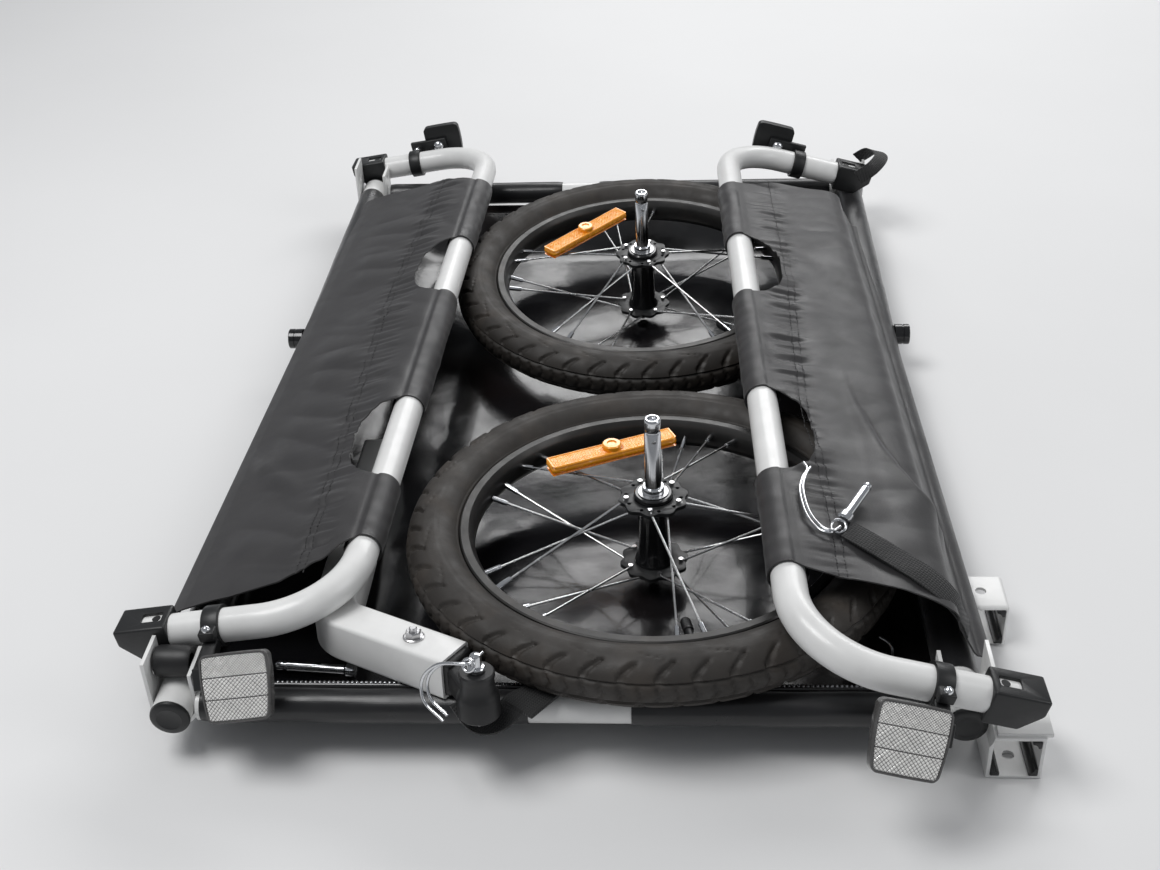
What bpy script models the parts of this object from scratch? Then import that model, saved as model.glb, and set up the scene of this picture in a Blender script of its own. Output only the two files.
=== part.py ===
"""A folding bicycle trailer, folded flat: its two side frames lie inwards over the stowed wheels.

+X is the side with the tow-bar receivers, +Y the rear, +Z up. The origin is on the ground below the
middle of the base frame. Each side frame is modelled upright about its own pivot, then laid down by it.
"""
import math

import bmesh
import bpy
from mathutils import Matrix, Vector

# Base frame: two side tubes and two crossbars on one level.
TUBE_Z = 0.040
HALF_W = 0.281
SIDE_SPAN = (-0.445, 0.4520)
SIDE_R = 0.0143
CROSS_R = 0.0111
CROSS_Y = {"front": -0.433, "rear": 0.4405}
GAP = 0.0003
WELD = 0.00001

# Corner brackets: U plates around the side tubes, which take the feet of the side frames.
BRACKET_Y = {"front": -0.420, "rear": 0.442}
BRACKET_DEPTH = 0.032
BRACKET_IN = 0.0148
BRACKET_OUT = 0.0175
FLANGE_TOP = {"outer": 0.0400, "inner": 0.0300}

# Side frames: one bent tube each, with feet. A point on one is (u, y, v): u outwards from the legs'
# axis, y along the trailer, v up from the foot's tip. The pivot is where the foot rolls over the tube.
FRAME_R = 0.0127
FRAME_H = 0.170
FRAME_HALF_L = (BRACKET_Y["rear"] - BRACKET_Y["front"]) / 2
FRAME_MID_Y = (BRACKET_Y["front"] + BRACKET_Y["rear"]) / 2
BEND_R = 0.065
FOOT_LENGTH = 0.040
FOOT_HALF = 0.0143
FOOT_DEPTH = 0.0276
TUBE_START = 0.0190
SHIFT = {"left": 0.0310, "right": -0.0350}
SIDE = {"left": -1, "right": 1}
PIVOT_OUT = {"left": 0.0109, "right": 0.0110}
PIVOT_UP = {"left": 0.0345, "right": 0.0424}
PIVOT_TO_TIP = -0.0252
SHIFT_X = {"left": -0.0020, "right": 0.0}
FOLD_DEG = {"left": 80.7, "right": 74.3}
PITCH_DEG = {"left": -0.76, "right": -0.15}
YAW_DEG = {"left": -1.3, "right": 1.7}

# Reflectors on the legs, each with the left one's and the right one's heights above the foot's tip.
CLAMP_WIDTH = 0.0130
REFLECTORS = {
    "front": {
        "ahead": -1, "clamp": (0.073, 0.073), "lens": (0.101, 0.097), "reach": (0.0560, 0.0460),
        "out": -0.0120, "lean": 35.0, "size": 0.048, "plate": 0.0070, "colour": "clear_lens",
    },
    "rear": {
        "ahead": 1, "clamp": (0.077, 0.085), "lens": (0.109, 0.116), "reach": (0.0300, 0.0230),
        "out": 0.0120, "lean": 0.0, "size": 0.040, "plate": -0.0020, "colour": "red_lens",
    },
}

# Side panels: fabric from above the side tube to a sleeve round the frame's long tube. The knee is the
# fabric's lower edge, as (out from the middle, above the side tube's centre).
PANEL_THICK = 0.0018
PANEL_KNEE = {
    "left": ((0.2810, 0.0225),),
    "right": ((0.2815, 0.0190), (0.2700, 0.0400), (0.2560, 0.0600)),
}
PANEL_HALF_L = 0.358
WINDOWS = {"left": (-0.215, 0.105), "right": (-0.170, 0.120)}
WINDOW_LENGTH = 0.120
WINDOW_WIDTH = 0.044
SLEEVE_START = -2
SLEEVE_TURN = 290

# Tow-bar receivers outboard of the right side tube: square sockets that reach the ground.
RECEIVER = 0.0384
RECEIVER_WALL = 0.0026
RECEIVER_X = 0.3147
RECEIVER_SPAN = {"front": (-0.458, -0.418), "rear": (-0.320, -0.280)}

# Wheels, 16 inch, on push-button axles. Heights are above the wheel's own middle plane.
TYRE_MID_R = 0.173
TYRE_R = 0.0218
RIM_IN = 0.1415
RIM_OUT = 0.1525
RIM_HALF = 0.0125
FLANGE_R = 0.026
FLANGE_Z = 0.0305
HUB_R = 0.0150
HUB_END = 0.036
AXLE_R = 0.0064
AXLE_TIP = 0.103
SPOKE_R = 0.0011
SPOKES_A_SIDE = 10
BUTTON_TRAVEL = 0.0040
WHEELS = {
    "front": {
        "at": (0.063, -0.265, TUBE_Z + 0.0310), "tilt": -1.4, "turn": 12.0,
        "reflector": 115.0, "valve": -78.0,
    },
    "rear": {
        "at": (0.046, 0.196, TUBE_Z + 0.0110), "tilt": 4.2, "turn": 36.0,
        "reflector": 138.0, "valve": -48.0,
    },
}

# Tow bar, stowed on the floor along the left side, its connector resting on the front crossbar.
TOW_SIZE = 0.032
TOW_REST = (0.0, -0.433, TUBE_Z + 0.0277)
TOW_PITCH = -7.15
TOW_HEAD = (0.0345, -0.0200)
TOW_ROUTE = ((-0.1860, 0.343), (-0.1752, 0.0819), (-0.1587, 0.0551), (-0.0755, 0.0086))

# The middle of the whole trailer in plan, which becomes the origin.
MIDDLE = (0.0047, -0.0069)

COLOURS = {
    "white_paint": ((0.78, 0.78, 0.76), 0.35, 0.3),
    "black_plastic": ((0.018, 0.019, 0.021), 0.5, 0.0),
    "black_fabric": ((0.030, 0.029, 0.031), 0.6, 0.0),
    "black_rubber": ((0.030, 0.027, 0.024), 0.8, 0.0),
    "black_alloy": ((0.035, 0.035, 0.037), 0.4, 0.6),
    "steel": ((0.62, 0.63, 0.65), 0.25, 1.0),
    "clear_lens": ((0.80, 0.78, 0.76), 0.2, 0.1),
    "red_lens": ((0.60, 0.02, 0.01), 0.2, 0.0),
    "amber_lens": ((0.95, 0.33, 0.01), 0.2, 0.0),
}


def clear_scene():
    for obj in list(bpy.data.objects):
        bpy.data.objects.remove(obj, do_unlink=True)


def collection(name):
    made = bpy.data.collections.new(name)
    bpy.context.scene.collection.children.link(made)
    return made


def material(name):
    colour, roughness, metallic = COLOURS[name]
    made = bpy.data.materials.new(name)
    made.use_nodes = True
    shader = made.node_tree.nodes["Principled BSDF"]
    shader.inputs["Base Color"].default_value = (*colour, 1.0)
    shader.inputs["Roughness"].default_value = roughness
    shader.inputs["Metallic"].default_value = metallic
    return made


clear_scene()
TRAILER = collection("bicycle_trailer")
CUTTERS = collection("cutters")
CUTTERS.hide_render = True
MATERIALS = {name: material(name) for name in COLOURS}


def adopt(obj, name, colour, parent=None):
    """Gives an object its name, colour and place in the trailer's collection."""
    for owner in list(obj.users_collection):
        owner.objects.unlink(obj)
    TRAILER.objects.link(obj)
    obj.name = name
    if parent:
        obj.parent = parent
        obj.matrix_parent_inverse = parent.matrix_basis.inverted()
    obj.data.materials.clear()
    obj.data.materials.append(MATERIALS[colour])
    return obj


def helper(obj):
    """Makes an object a cutter: it is in no render and holds no solid of its own."""
    for owner in list(obj.users_collection):
        owner.objects.unlink(obj)
    CUTTERS.objects.link(obj)
    obj.hide_render = True
    obj.display_type = "WIRE"
    return obj


def from_bmesh(fill, matrix=Matrix()):
    """An object whose mesh is what fill makes in an empty bmesh, moved by matrix."""
    shape = bmesh.new()
    fill(shape)
    bmesh.ops.transform(shape, matrix=matrix, verts=shape.verts)
    mesh = bpy.data.meshes.new("shape")
    shape.to_mesh(mesh)
    shape.free()
    return bpy.data.objects.new("shape", mesh)


def pointing(axis):
    """The rotation that takes +Z to axis."""
    return Vector(axis).to_track_quat("Z", "Y").to_matrix().to_4x4()


def rod(radius, start, end, sides=16, end_radius=None):
    """A round bar, or a cone, between two points."""
    start, end = Vector(start), Vector(end)
    far = radius if end_radius is None else end_radius

    def fill(shape):
        bmesh.ops.create_cone(
            shape, cap_ends=True, segments=sides, radius1=radius, radius2=far,
            depth=(end - start).length,
        )

    place = Matrix.Translation((start + end) / 2) @ pointing(end - start)
    made = from_bmesh(fill, place)
    made.data.shade_smooth()
    made.data.set_sharp_from_angle(angle=math.radians(40))
    return made


def block(size, centre, turn=Matrix()):
    """A box of a size (x, y, z) about a centre."""
    place = Matrix.Translation(centre) @ turn @ Matrix.Diagonal((*size, 1))
    return from_bmesh(lambda shape: bmesh.ops.create_cube(shape, size=1.0), place)


def outline(points, half_depth, matrix=Matrix()):
    """A flat closed outline in local XY, half_depth thick each way along local Z."""
    curve = bpy.data.curves.new("outline", "CURVE")
    curve.dimensions = "2D"
    curve.fill_mode = "BOTH"
    curve.extrude = half_depth
    spline = curve.splines.new("POLY")
    spline.points.add(len(points) - 1)
    for point, (x, y) in zip(spline.points, points):
        point.co = (x, y, 0, 1)
    spline.use_cyclic_u = True
    return solid_of(curve, matrix)


def pipe(points, radius, resolution=3, cyclic=False, matrix=Matrix()):
    """A round wire or tube along a list of points."""
    curve = bpy.data.curves.new("pipe", "CURVE")
    curve.dimensions = "3D"
    curve.bevel_depth = radius
    curve.bevel_resolution = resolution
    curve.use_fill_caps = True
    spline = curve.splines.new("POLY")
    spline.points.add(len(points) - 1)
    for point, place in zip(spline.points, points):
        point.co = (*place, 1)
    spline.use_cyclic_u = cyclic
    return solid_of(curve, matrix)


def solid_of(curve, matrix):
    """A curve's evaluated shape as a mesh object, with its caps welded on."""
    guide = bpy.data.objects.new("guide", curve)
    bpy.context.scene.collection.objects.link(guide)
    graph = bpy.context.evaluated_depsgraph_get()
    mesh = bpy.data.meshes.new_from_object(guide.evaluated_get(graph))
    bpy.data.objects.remove(guide)
    shape = bmesh.new()
    shape.from_mesh(mesh)
    bmesh.ops.remove_doubles(shape, verts=shape.verts, dist=WELD)
    bmesh.ops.recalc_face_normals(shape, faces=shape.faces)
    bmesh.ops.transform(shape, matrix=matrix, verts=shape.verts)
    shape.to_mesh(mesh)
    shape.free()
    return bpy.data.objects.new("pipe", mesh)


def turned(profile, steps=40, matrix=Matrix()):
    """A closed (radius, height) profile turned about local Z."""
    def fill(shape):
        ring = [shape.verts.new((r, 0, z)) for r, z in profile]
        for a, b in zip(ring, ring[1:] + ring[:1]):
            shape.edges.new((a, b))
        bmesh.ops.spin(
            shape, geom=shape.verts[:] + shape.edges[:], cent=(0, 0, 0), axis=(0, 0, 1),
            angle=2 * math.pi, steps=steps, use_merge=True,
        )
        bmesh.ops.remove_doubles(shape, verts=shape.verts, dist=WELD)
        bmesh.ops.recalc_face_normals(shape, faces=shape.faces)

    made = from_bmesh(fill, matrix)
    made.data.shade_smooth()
    made.data.set_sharp_from_angle(angle=math.radians(40))
    return made


def boolean(obj, other, operation="DIFFERENCE"):
    helper(other)
    step = obj.modifiers.new("boolean", "BOOLEAN")
    step.operation = operation
    step.solver = "EXACT"
    step.object = other
    return obj


def bevel(obj, width, segments=2):
    step = obj.modifiers.new("bevel", "BEVEL")
    step.width = width
    step.segments = segments
    step.limit_method = "ANGLE"
    return obj


def arc(centre, radius, start, end, steps):
    """Points on an arc in a plane, from one angle to another in degrees."""
    return [
        (
            centre[0] + radius * math.cos(math.radians(start + (end - start) * i / steps)),
            centre[1] + radius * math.sin(math.radians(start + (end - start) * i / steps)),
        )
        for i in range(steps + 1)
    ]


# ---------------------------------------------------------------- base frame


def side_tube_cutter(side, clearance=GAP):
    x = SIDE[side] * HALF_W
    start, end = (x, SIDE_SPAN[0] - 0.1, TUBE_Z), (x, SIDE_SPAN[1] + 0.1, TUBE_Z)
    return rod(SIDE_R + clearance, start, end, 24)


def base_tubes():
    for side, sign in SIDE.items():
        x = sign * HALF_W
        tube = rod(SIDE_R, (x, SIDE_SPAN[0], TUBE_Z), (x, SIDE_SPAN[1], TUBE_Z), 20)
        adopt(tube, f"{side}_side_tube", "white_paint")
        for end, y in zip(("front", "rear"), SIDE_SPAN):
            out = math.copysign(1, y)
            cap = rod(
                SIDE_R, (x, y + out * GAP, TUBE_Z), (x, y + out * 0.0045, TUBE_Z), 20, SIDE_R * 0.9
            )
            adopt(cap, f"{end}_{side}_tube_cap", "black_plastic")
    for end, y in CROSS_Y.items():
        bar = rod(CROSS_R, (-HALF_W, y, TUBE_Z), (HALF_W, y, TUBE_Z), 16)
        for side in SIDE:
            boolean(bar, side_tube_cutter(side))
            boolean(bar, bracket_room(side, end))
        adopt(bar, f"{end}_crossbar", "white_paint")


def bracket_room(side, end):
    """The space that a corner bracket takes from its crossbar."""
    x = SIDE[side] * HALF_W
    return block(
        (2 * (BRACKET_OUT + GAP), BRACKET_DEPTH + 2 * GAP, 0.09), (x, BRACKET_Y[end], TUBE_Z)
    )


def bracket_outline(side):
    """A bracket's U section across X and Z about the tube's centre, its outer flange the taller."""
    sign = SIDE[side]
    outer, inner = FLANGE_TOP["outer"], FLANGE_TOP["inner"]
    points = [(-BRACKET_OUT, inner), *arc((0, 0), BRACKET_OUT, 180, 360, 12)]
    points += [(BRACKET_OUT, outer), (BRACKET_IN, outer)]
    points += arc((0, 0), BRACKET_IN, 0, -180, 12)
    points += [(-BRACKET_IN, inner)]
    return [(sign * x, z) for x, z in points]


def brackets():
    """U plates. The ends of their flanges are sloped off, and a pin hole crosses both flanges."""
    for side in SIDE:
        for end, y in BRACKET_Y.items():
            x = SIDE[side] * HALF_W
            upright = Matrix.Translation((x, y, TUBE_Z)) @ Matrix.Rotation(math.radians(90), 4, "X")
            bracket = outline(bracket_outline(side), BRACKET_DEPTH / 2, upright)
            slope = Matrix.Rotation(math.radians(-58 * math.copysign(1, y)), 4, "X")
            edge = y + math.copysign(BRACKET_DEPTH / 2 + 0.0170, y)
            boolean(bracket, block((0.06, 0.080, 0.030), (x, edge, TUBE_Z + 0.0420), slope))
            hole_z = TUBE_Z + 0.0215
            boolean(bracket, rod(0.0035, (x - 0.03, y, hole_z), (x + 0.03, y, hole_z), 12))
            adopt(bracket, f"{end}_{side}_bracket", "white_paint")


def wheel_receivers():
    """Sockets that take a wheel's axle: short tubes from the side tubes."""
    y = 0.095
    for side, sign in SIDE.items():
        reach = sign * (HALF_W + 0.029)
        socket = rod(0.0100, (sign * (HALF_W + 0.0108), y, TUBE_Z), (reach, y, TUBE_Z), 20)
        bore = rod(AXLE_R + 0.0002, (sign * 0.27, y, TUBE_Z), (sign * 0.33, y, TUBE_Z), 20)
        boolean(socket, bore)
        boolean(socket, side_tube_cutter(side))
        adopt(socket, f"{side}_wheel_receiver", "black_alloy")


def tow_receivers():
    z = RECEIVER / 2
    bore = RECEIVER - 2 * RECEIVER_WALL
    for end, (y0, y1) in RECEIVER_SPAN.items():
        middle = (y0 + y1) / 2
        body = bevel(block((RECEIVER, y1 - y0, RECEIVER), (RECEIVER_X, middle, z)), 0.0016, 2)
        boolean(body, block((bore, 0.08, bore), (RECEIVER_X, middle, z)))
        boolean(body, rod(0.0042, (RECEIVER_X, middle, -0.01), (RECEIVER_X, middle, 0.06), 16))
        if end == "front":
            plate = block((0.0380, 0.036, 0.0036), (0.3195, middle, RECEIVER + 0.0004))
            boolean(body, plate, "UNION")
            boolean(body, side_tube_cutter("right", BRACKET_OUT - SIDE_R + GAP))
        boolean(body, side_tube_cutter("right"))
        adopt(body, f"{end}_tow_receiver", "white_paint")


def ramp(value, low, high):
    t = min(1.0, max(0.0, (value - low) / (high - low)))
    return t * t * (3 - 2 * t)


def floor_depth(x, y):
    """How far the fabric floor hangs below the tubes' centres at a point."""
    across = ramp(0.262 - abs(x), 0.0, 0.070)
    along = 0.0190 + 0.0190 * ramp(y, -0.235, -0.060)
    rear = ramp(0.425 - y, 0.0, 0.090)
    front = ramp(y + 0.415, 0.0, 0.050)
    return 0.0120 + (along - 0.0120) * across * rear * front


def floor_panel():
    """The fabric floor: a shallow pan slung between the tubes, resting on the ground at its middle."""
    thick = 0.0020
    columns, rows = 12, 16
    y0, y1 = CROSS_Y["front"] + CROSS_R + 0.0035, CROSS_Y["rear"] - CROSS_R - 0.0035

    def fill(shape):
        bmesh.ops.create_grid(shape, x_segments=columns, y_segments=rows, size=1.0)
        for vert in shape.verts:
            vert.co.x *= HALF_W - SIDE_R - 0.0045
            vert.co.y = (y0 + y1) / 2 + vert.co.y * (y1 - y0) / 2
            vert.co.z = TUBE_Z - floor_depth(vert.co.x, vert.co.y)
        made = bmesh.ops.extrude_face_region(shape, geom=shape.faces[:])
        for vert in (v for v in made["geom"] if isinstance(v, bmesh.types.BMVert)):
            vert.co.z -= thick
        bmesh.ops.recalc_face_normals(shape, faces=shape.faces)

    adopt(from_bmesh(fill), "floor_panel", "black_fabric")


# --------------------------------------------------------------- side frames


def frame_matrices(side):
    """The pivot's own matrix, and the one that takes a point (u, y, v) of the frame to the world."""
    sign = SIDE[side]
    x = sign * (HALF_W + PIVOT_OUT[side]) + SHIFT_X[side]
    at = (x, FRAME_MID_Y + SHIFT[side], TUBE_Z + PIVOT_UP[side])
    skew = Matrix.Rotation(math.radians(YAW_DEG[side]), 4, "Z")
    skew = skew @ Matrix.Rotation(math.radians(PITCH_DEG[side]), 4, "X")
    fold = Matrix.Rotation(math.radians(-sign * FOLD_DEG[side]), 4, "Y")
    pivot = Matrix.Translation(at) @ skew @ fold
    tip = Matrix.Translation((-sign * PIVOT_OUT[side], 0, PIVOT_TO_TIP))
    return pivot, pivot @ tip @ Matrix.Diagonal((sign, 1, 1, 1))


def turn_out(obj):
    """Turns the faces out again after a mirroring matrix."""
    shape = bmesh.new()
    shape.from_mesh(obj.data)
    bmesh.ops.recalc_face_normals(shape, faces=shape.faces)
    shape.to_mesh(obj.data)
    shape.free()
    return obj


def placed(obj, matrix):
    obj.data.transform(matrix)
    return turn_out(obj)


def frame_route(steps=6):
    """Centre line of a side frame: up one leg, along the top and down the other."""
    y, top = FRAME_HALF_L, FRAME_H
    first = arc((-y + BEND_R, top - BEND_R), BEND_R, 180, 90, steps)
    second = arc((y - BEND_R, top - BEND_R), BEND_R, 90, 0, steps)
    return [(0, *p) for p in [(-y, TUBE_START), *first, *second, (y, TUBE_START)]]


def foot(name, y, matrix, pivot):
    """A plastic foot over a leg's end, sloped off below, its slot showing the tube's pin hole."""
    body = bevel(block((2 * FOOT_HALF, FOOT_DEPTH, FOOT_LENGTH), (0, y, FOOT_LENGTH / 2)), 0.0020, 2)
    boolean(body, placed(rod(FRAME_R + GAP, (0, y, TUBE_START - GAP), (0, y, 0.07), 20), matrix))
    boolean(body, placed(rod(FRAME_R - 0.003, (0, y, -0.01), (0, y, 0.07), 16), matrix))
    boolean(body, placed(block((0.024, 0.0100, 0.016), (0.014, y, 0.0270)), matrix))
    slope = Matrix.Rotation(math.radians(43), 4, "Y")
    boolean(body, placed(block((0.06, 0.06, 0.02), (-0.0140, y, 0.0018), slope), matrix))
    adopt(placed(body, matrix), name, "black_plastic", pivot)


def clamp_and_reflector(end, side, matrix, pivot):
    """A reflector on a clamp round a leg: an arm runs out from the leg to a plate on the lens's back."""
    spec = REFLECTORS[end]
    ahead, lens_size = spec["ahead"], spec["size"]
    clamp_v, lens_v, reach = (spec[key][side == "right"] for key in ("clamp", "lens", "reach"))
    out = spec["out"]
    leg = Matrix.Translation((0, ahead * FRAME_HALF_L, 0))
    lean = Matrix.Rotation(math.radians(-ahead * spec["lean"]), 4, "Z")
    face = leg @ Matrix.Translation((out, ahead * reach, 0)) @ lean
    towards = leg @ Matrix.Rotation(math.atan2(ahead * reach, out), 4, "Z")
    length = math.hypot(out, reach)

    def bored(radius, half):
        return placed(rod(radius, (0, 0, clamp_v - half), (0, 0, clamp_v + half), 20), matrix @ leg)

    collar = bored(FRAME_R + 0.0028, CLAMP_WIDTH / 2)
    arm = block((length - 0.0220, 0.0090, CLAMP_WIDTH - 0.002), (length / 2 - 0.0005, 0, clamp_v))
    boolean(collar, placed(arm, matrix @ towards), "UNION")
    low, high = clamp_v - CLAMP_WIDTH / 2 - 0.001, lens_v + 0.004
    plate = block((0.0160, 0.0050, high - low), (spec["plate"], -ahead * 0.0070, (low + high) / 2))
    boolean(collar, placed(plate, matrix @ face), "UNION")
    boolean(collar, bored(FRAME_R + 0.0002, 0.03))
    adopt(collar, f"{end}_{side}_reflector_clamp", "black_plastic", pivot)
    lens = bevel(block((lens_size, 0.0080, lens_size), (0, 0, lens_v)), 0.0030, 2)
    adopt(placed(lens, matrix @ face), f"{end}_{side}_reflector", spec["colour"], pivot)


def side_panel(side, matrix, pivot):
    """The fabric of a side: from above the side tube to a sleeve round the frame's long tube."""
    sign = SIDE[side]
    middle = FRAME_MID_Y + SHIFT[side]
    to_frame = matrix.inverted()
    knee = [to_frame @ Vector((sign * x, middle, TUBE_Z + z)) for x, z in PANEL_KNEE[side]]
    seat = FRAME_R + GAP
    angles = (SLEEVE_START, SLEEVE_START + SLEEVE_TURN)
    crown = arc((0, FRAME_H), seat + PANEL_THICK, *angles, 16)
    inner = arc((0, FRAME_H), seat, *angles[::-1], 16)
    outside = [(p.x, p.z) for p in knee]
    inside = [(p.x - PANEL_THICK, p.z) for p in reversed(knee)]
    upright = Matrix.Rotation(math.radians(90), 4, "X")
    panel = placed(outline(outside + crown + inner + inside, PANEL_HALF_L, upright), matrix)
    for y in WINDOWS[side]:
        hole = block((0.12, WINDOW_LENGTH, 0.062), (0, y, FRAME_H - WINDOW_WIDTH + 0.042))
        boolean(panel, placed(bevel(hole, 0.018, 3), matrix))
    adopt(panel, f"{side}_side_panel", "black_fabric", pivot)


def hem(side):
    """The keder strip that fastens a side panel along the top of its side tube."""
    seat, thick = SIDE_R + GAP, 0.0012
    sign = SIDE[side]
    points = arc((0, 0), seat + thick, 57, 74, 3) + arc((0, 0), seat, 74, 57, 3)
    place = Matrix.Translation((sign * HALF_W, FRAME_MID_Y + SHIFT[side], TUBE_Z))
    turn = place @ Matrix.Rotation(math.radians(90), 4, "X")
    strip = outline([(sign * x, z) for x, z in points], PANEL_HALF_L - 0.003, turn)
    adopt(turn_out(strip), f"{side}_panel_hem", "black_fabric")


def ribbon(points, width, thick):
    """A flat strap along a list of points, its width level and square to its run."""
    path = [Vector(p) for p in points]
    sections = []
    for i, point in enumerate(path):
        run = (path[min(i + 1, len(path) - 1)] - path[max(i - 1, 0)]).normalized()
        across = Vector((-run.y, run.x, 0)).normalized() * width / 2
        up = across.cross(run).normalized() * thick
        up = up if up.z + up.x > 0 else -up
        sections.append([point - across, point + across, point + across + up, point - across + up])

    def fill(shape):
        rings = [[shape.verts.new(corner) for corner in corners] for corners in sections]
        for ring, following in zip(rings, rings[1:]):
            for k in range(4):
                shape.faces.new((ring[k], ring[k - 1], following[k - 1], following[k]))
        shape.faces.new(rings[0])
        shape.faces.new(rings[-1][::-1])
        bmesh.ops.recalc_face_normals(shape, faces=shape.faces)

    return from_bmesh(fill)


def strap_and_pin(pivot):
    """The spare lock pin that lies on the right panel, its wire keeper and the strap that ties it."""
    z = TUBE_Z + 0.0830
    start, end = Vector((0.2250, -0.2790, z)), Vector((0.2030, -0.3220, z))
    along = (end - start).normalized()
    pin = rod(0.0038, start, end, 12)
    boolean(pin, rod(0.0056, end - along * 0.006, end + along * 0.001, 12), "UNION")
    adopt(pin, "strap_pin", "steel", pivot)
    loop = [(0.1790, -0.2530, 0.1260), (0.1740, -0.2860, 0.1260), (0.1760, -0.3160, 0.1250)]
    loop += [(0.1840, -0.3360, 0.1240), (0.1940, -0.3360, 0.1230), (0.1975, -0.3290, 0.1220)]
    adopt(pipe(loop, 0.0012, 1), "strap_keeper", "steel", pivot)
    run = [(0.2060, -0.3300, 0.1195), (0.2320, -0.3500, 0.1145), (0.2580, -0.3720, 0.1090)]
    run += [(0.2760, -0.3830, 0.0960), (0.2880, -0.3860, 0.0730)]
    adopt(ribbon(run, 0.0220, 0.0014), "pin_strap", "black_fabric", pivot)


def side_frames():
    for side in SIDE:
        pivot_matrix, matrix = frame_matrices(side)
        pivot = bpy.data.objects.new(f"{side}_fold_pivot", None)
        TRAILER.objects.link(pivot)
        pivot.matrix_basis = pivot_matrix
        tube = placed(pipe(frame_route(), FRAME_R, 3), matrix)
        adopt(tube, f"{side}_frame_tube", "white_paint", pivot)
        for end, sign in (("front", -1), ("rear", 1)):
            foot(f"{end}_{side}_foot", sign * FRAME_HALF_L, matrix, pivot)
            clamp_and_reflector(end, side, matrix, pivot)
        side_panel(side, matrix, pivot)
        hem(side)
        if side == "right":
            strap_and_pin(pivot)


# -------------------------------------------------------------------- wheels


def wheel_place(spec):
    tilt = Matrix.Rotation(math.radians(spec["tilt"]), 4, "X")
    return Matrix.Translation(spec["at"]) @ tilt


def tyre(name, place):
    section = [
        (TYRE_MID_R + TYRE_R * math.cos(a), TYRE_R * math.sin(a))
        for a in (math.radians(145 - i * 290 / 11) for i in range(12))
    ]
    bead = RIM_OUT + GAP
    adopt(turned([(bead, 0.0085), *section, (bead, -0.0085)], 40, place), name, "black_rubber")


def rim(name, place):
    profile = [
        (RIM_IN, 0.0075), (RIM_IN + 0.003, RIM_HALF), (RIM_OUT, RIM_HALF),
        (RIM_OUT, -RIM_HALF), (RIM_IN + 0.003, -RIM_HALF), (RIM_IN, -0.0075),
    ]
    adopt(turned(profile, 40, place), name, "black_alloy")


def spoke_ends(index, top):
    """Where a spoke starts in its flange and ends at the rim, crossing its neighbour on the way."""
    step = 2 * math.pi / SPOKES_A_SIDE
    crossing = 1 if index % 2 else -1
    hub_angle = index * step + (0 if top else step / 2)
    z = math.copysign(FLANGE_Z, 1 if top else -1) + crossing * 0.0013
    start_r, end_r = FLANGE_R - 0.0045, RIM_IN - 0.0012
    end_angle = hub_angle + 0.62 * step * crossing
    start = (start_r * math.cos(hub_angle), start_r * math.sin(hub_angle), z)
    return start, (end_r * math.cos(end_angle), end_r * math.sin(end_angle), math.copysign(0.003, z))


def spoke_set(name, place, turn):
    """A hub's spool and flanges with the laced spokes, in one piece."""
    spin = place @ Matrix.Rotation(math.radians(turn), 4, "Z")
    bore, barrel = HUB_R + GAP, HUB_R + 0.0020
    high, low = FLANGE_Z + 0.0016, FLANGE_Z - 0.0016
    profile = [(bore, high), (FLANGE_R, high), (FLANGE_R, low), (barrel, low), (barrel, -low)]
    profile += [(FLANGE_R, -low), (FLANGE_R, -high), (bore, -high)]
    spool = turned(profile, 20, spin)
    for top in (True, False):
        for index in range(SPOKES_A_SIDE):
            start, end = spoke_ends(index, top)
            boolean(spool, rod(SPOKE_R, spin @ Vector(start), spin @ Vector(end), 6), "UNION")
    adopt(spool, name, "steel")


def hub(name, place):
    profile = [
        (0.0125, HUB_END), (HUB_R - 0.001, HUB_END), (HUB_R, HUB_END - 0.001),
        (HUB_R, -HUB_END + 0.001), (HUB_R - 0.001, -HUB_END), (0.0125, -HUB_END),
        (AXLE_R + 0.0004, -HUB_END + 0.002), (AXLE_R + 0.0004, HUB_END - 0.002),
    ]
    adopt(turned(profile, 20, place), name, "black_alloy")


def axle(name, place):
    """A hollow axle with the lock-ball groove near its tip, counterbored for its release button."""
    tip, bore, well, end = AXLE_TIP, 0.0030, 0.0052, -HUB_END - 0.0060
    profile = [
        (bore, tip - 0.004), (0.0040, tip), (0.0054, tip), (AXLE_R, tip - 0.0012),
        (AXLE_R, tip - 0.009), (0.0056, tip - 0.010), (0.0056, tip - 0.012), (AXLE_R, tip - 0.013),
        (AXLE_R, -HUB_END - 0.002), (0.0095, -HUB_END - 0.0022), (0.0095, end), (well, end),
        (well, end + BUTTON_TRAVEL + 0.0020), (bore, end + BUTTON_TRAVEL + 0.0020),
    ]
    adopt(turned(profile, 20, place), name, "steel")


def axle_button(name, place):
    """The release button in the outer end of the axle, with the rod that frees the lock balls."""
    face, back = -HUB_END - 0.0100, -HUB_END - 0.0050
    profile = [
        (0, 0.020), (0.0026, 0.020), (0.0026, back), (0.0048, back),
        (0.0048, face + 0.0006), (0.0042, face), (0, face),
    ]
    adopt(turned(profile, 16, place), name, "black_plastic")


def wheel_reflector(name, place, angle):
    """An amber bar clipped across two spokes, with its spoke clip in the middle."""
    here = place @ Matrix.Rotation(math.radians(angle), 4, "Z") @ Matrix.Translation((0.083, 0, 0.0245))
    bar = bevel(block((0.0180, 0.1120, 0.0090), (0, 0, 0)), 0.0030, 2)
    clip = rod(0.0085, (0, 0, 0.002), (0, 0, 0.0090), 12)
    boolean(bar, clip, "UNION")
    bar.matrix_world = here
    clip.matrix_world = here
    adopt(bar, name, "amber_lens")


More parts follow.
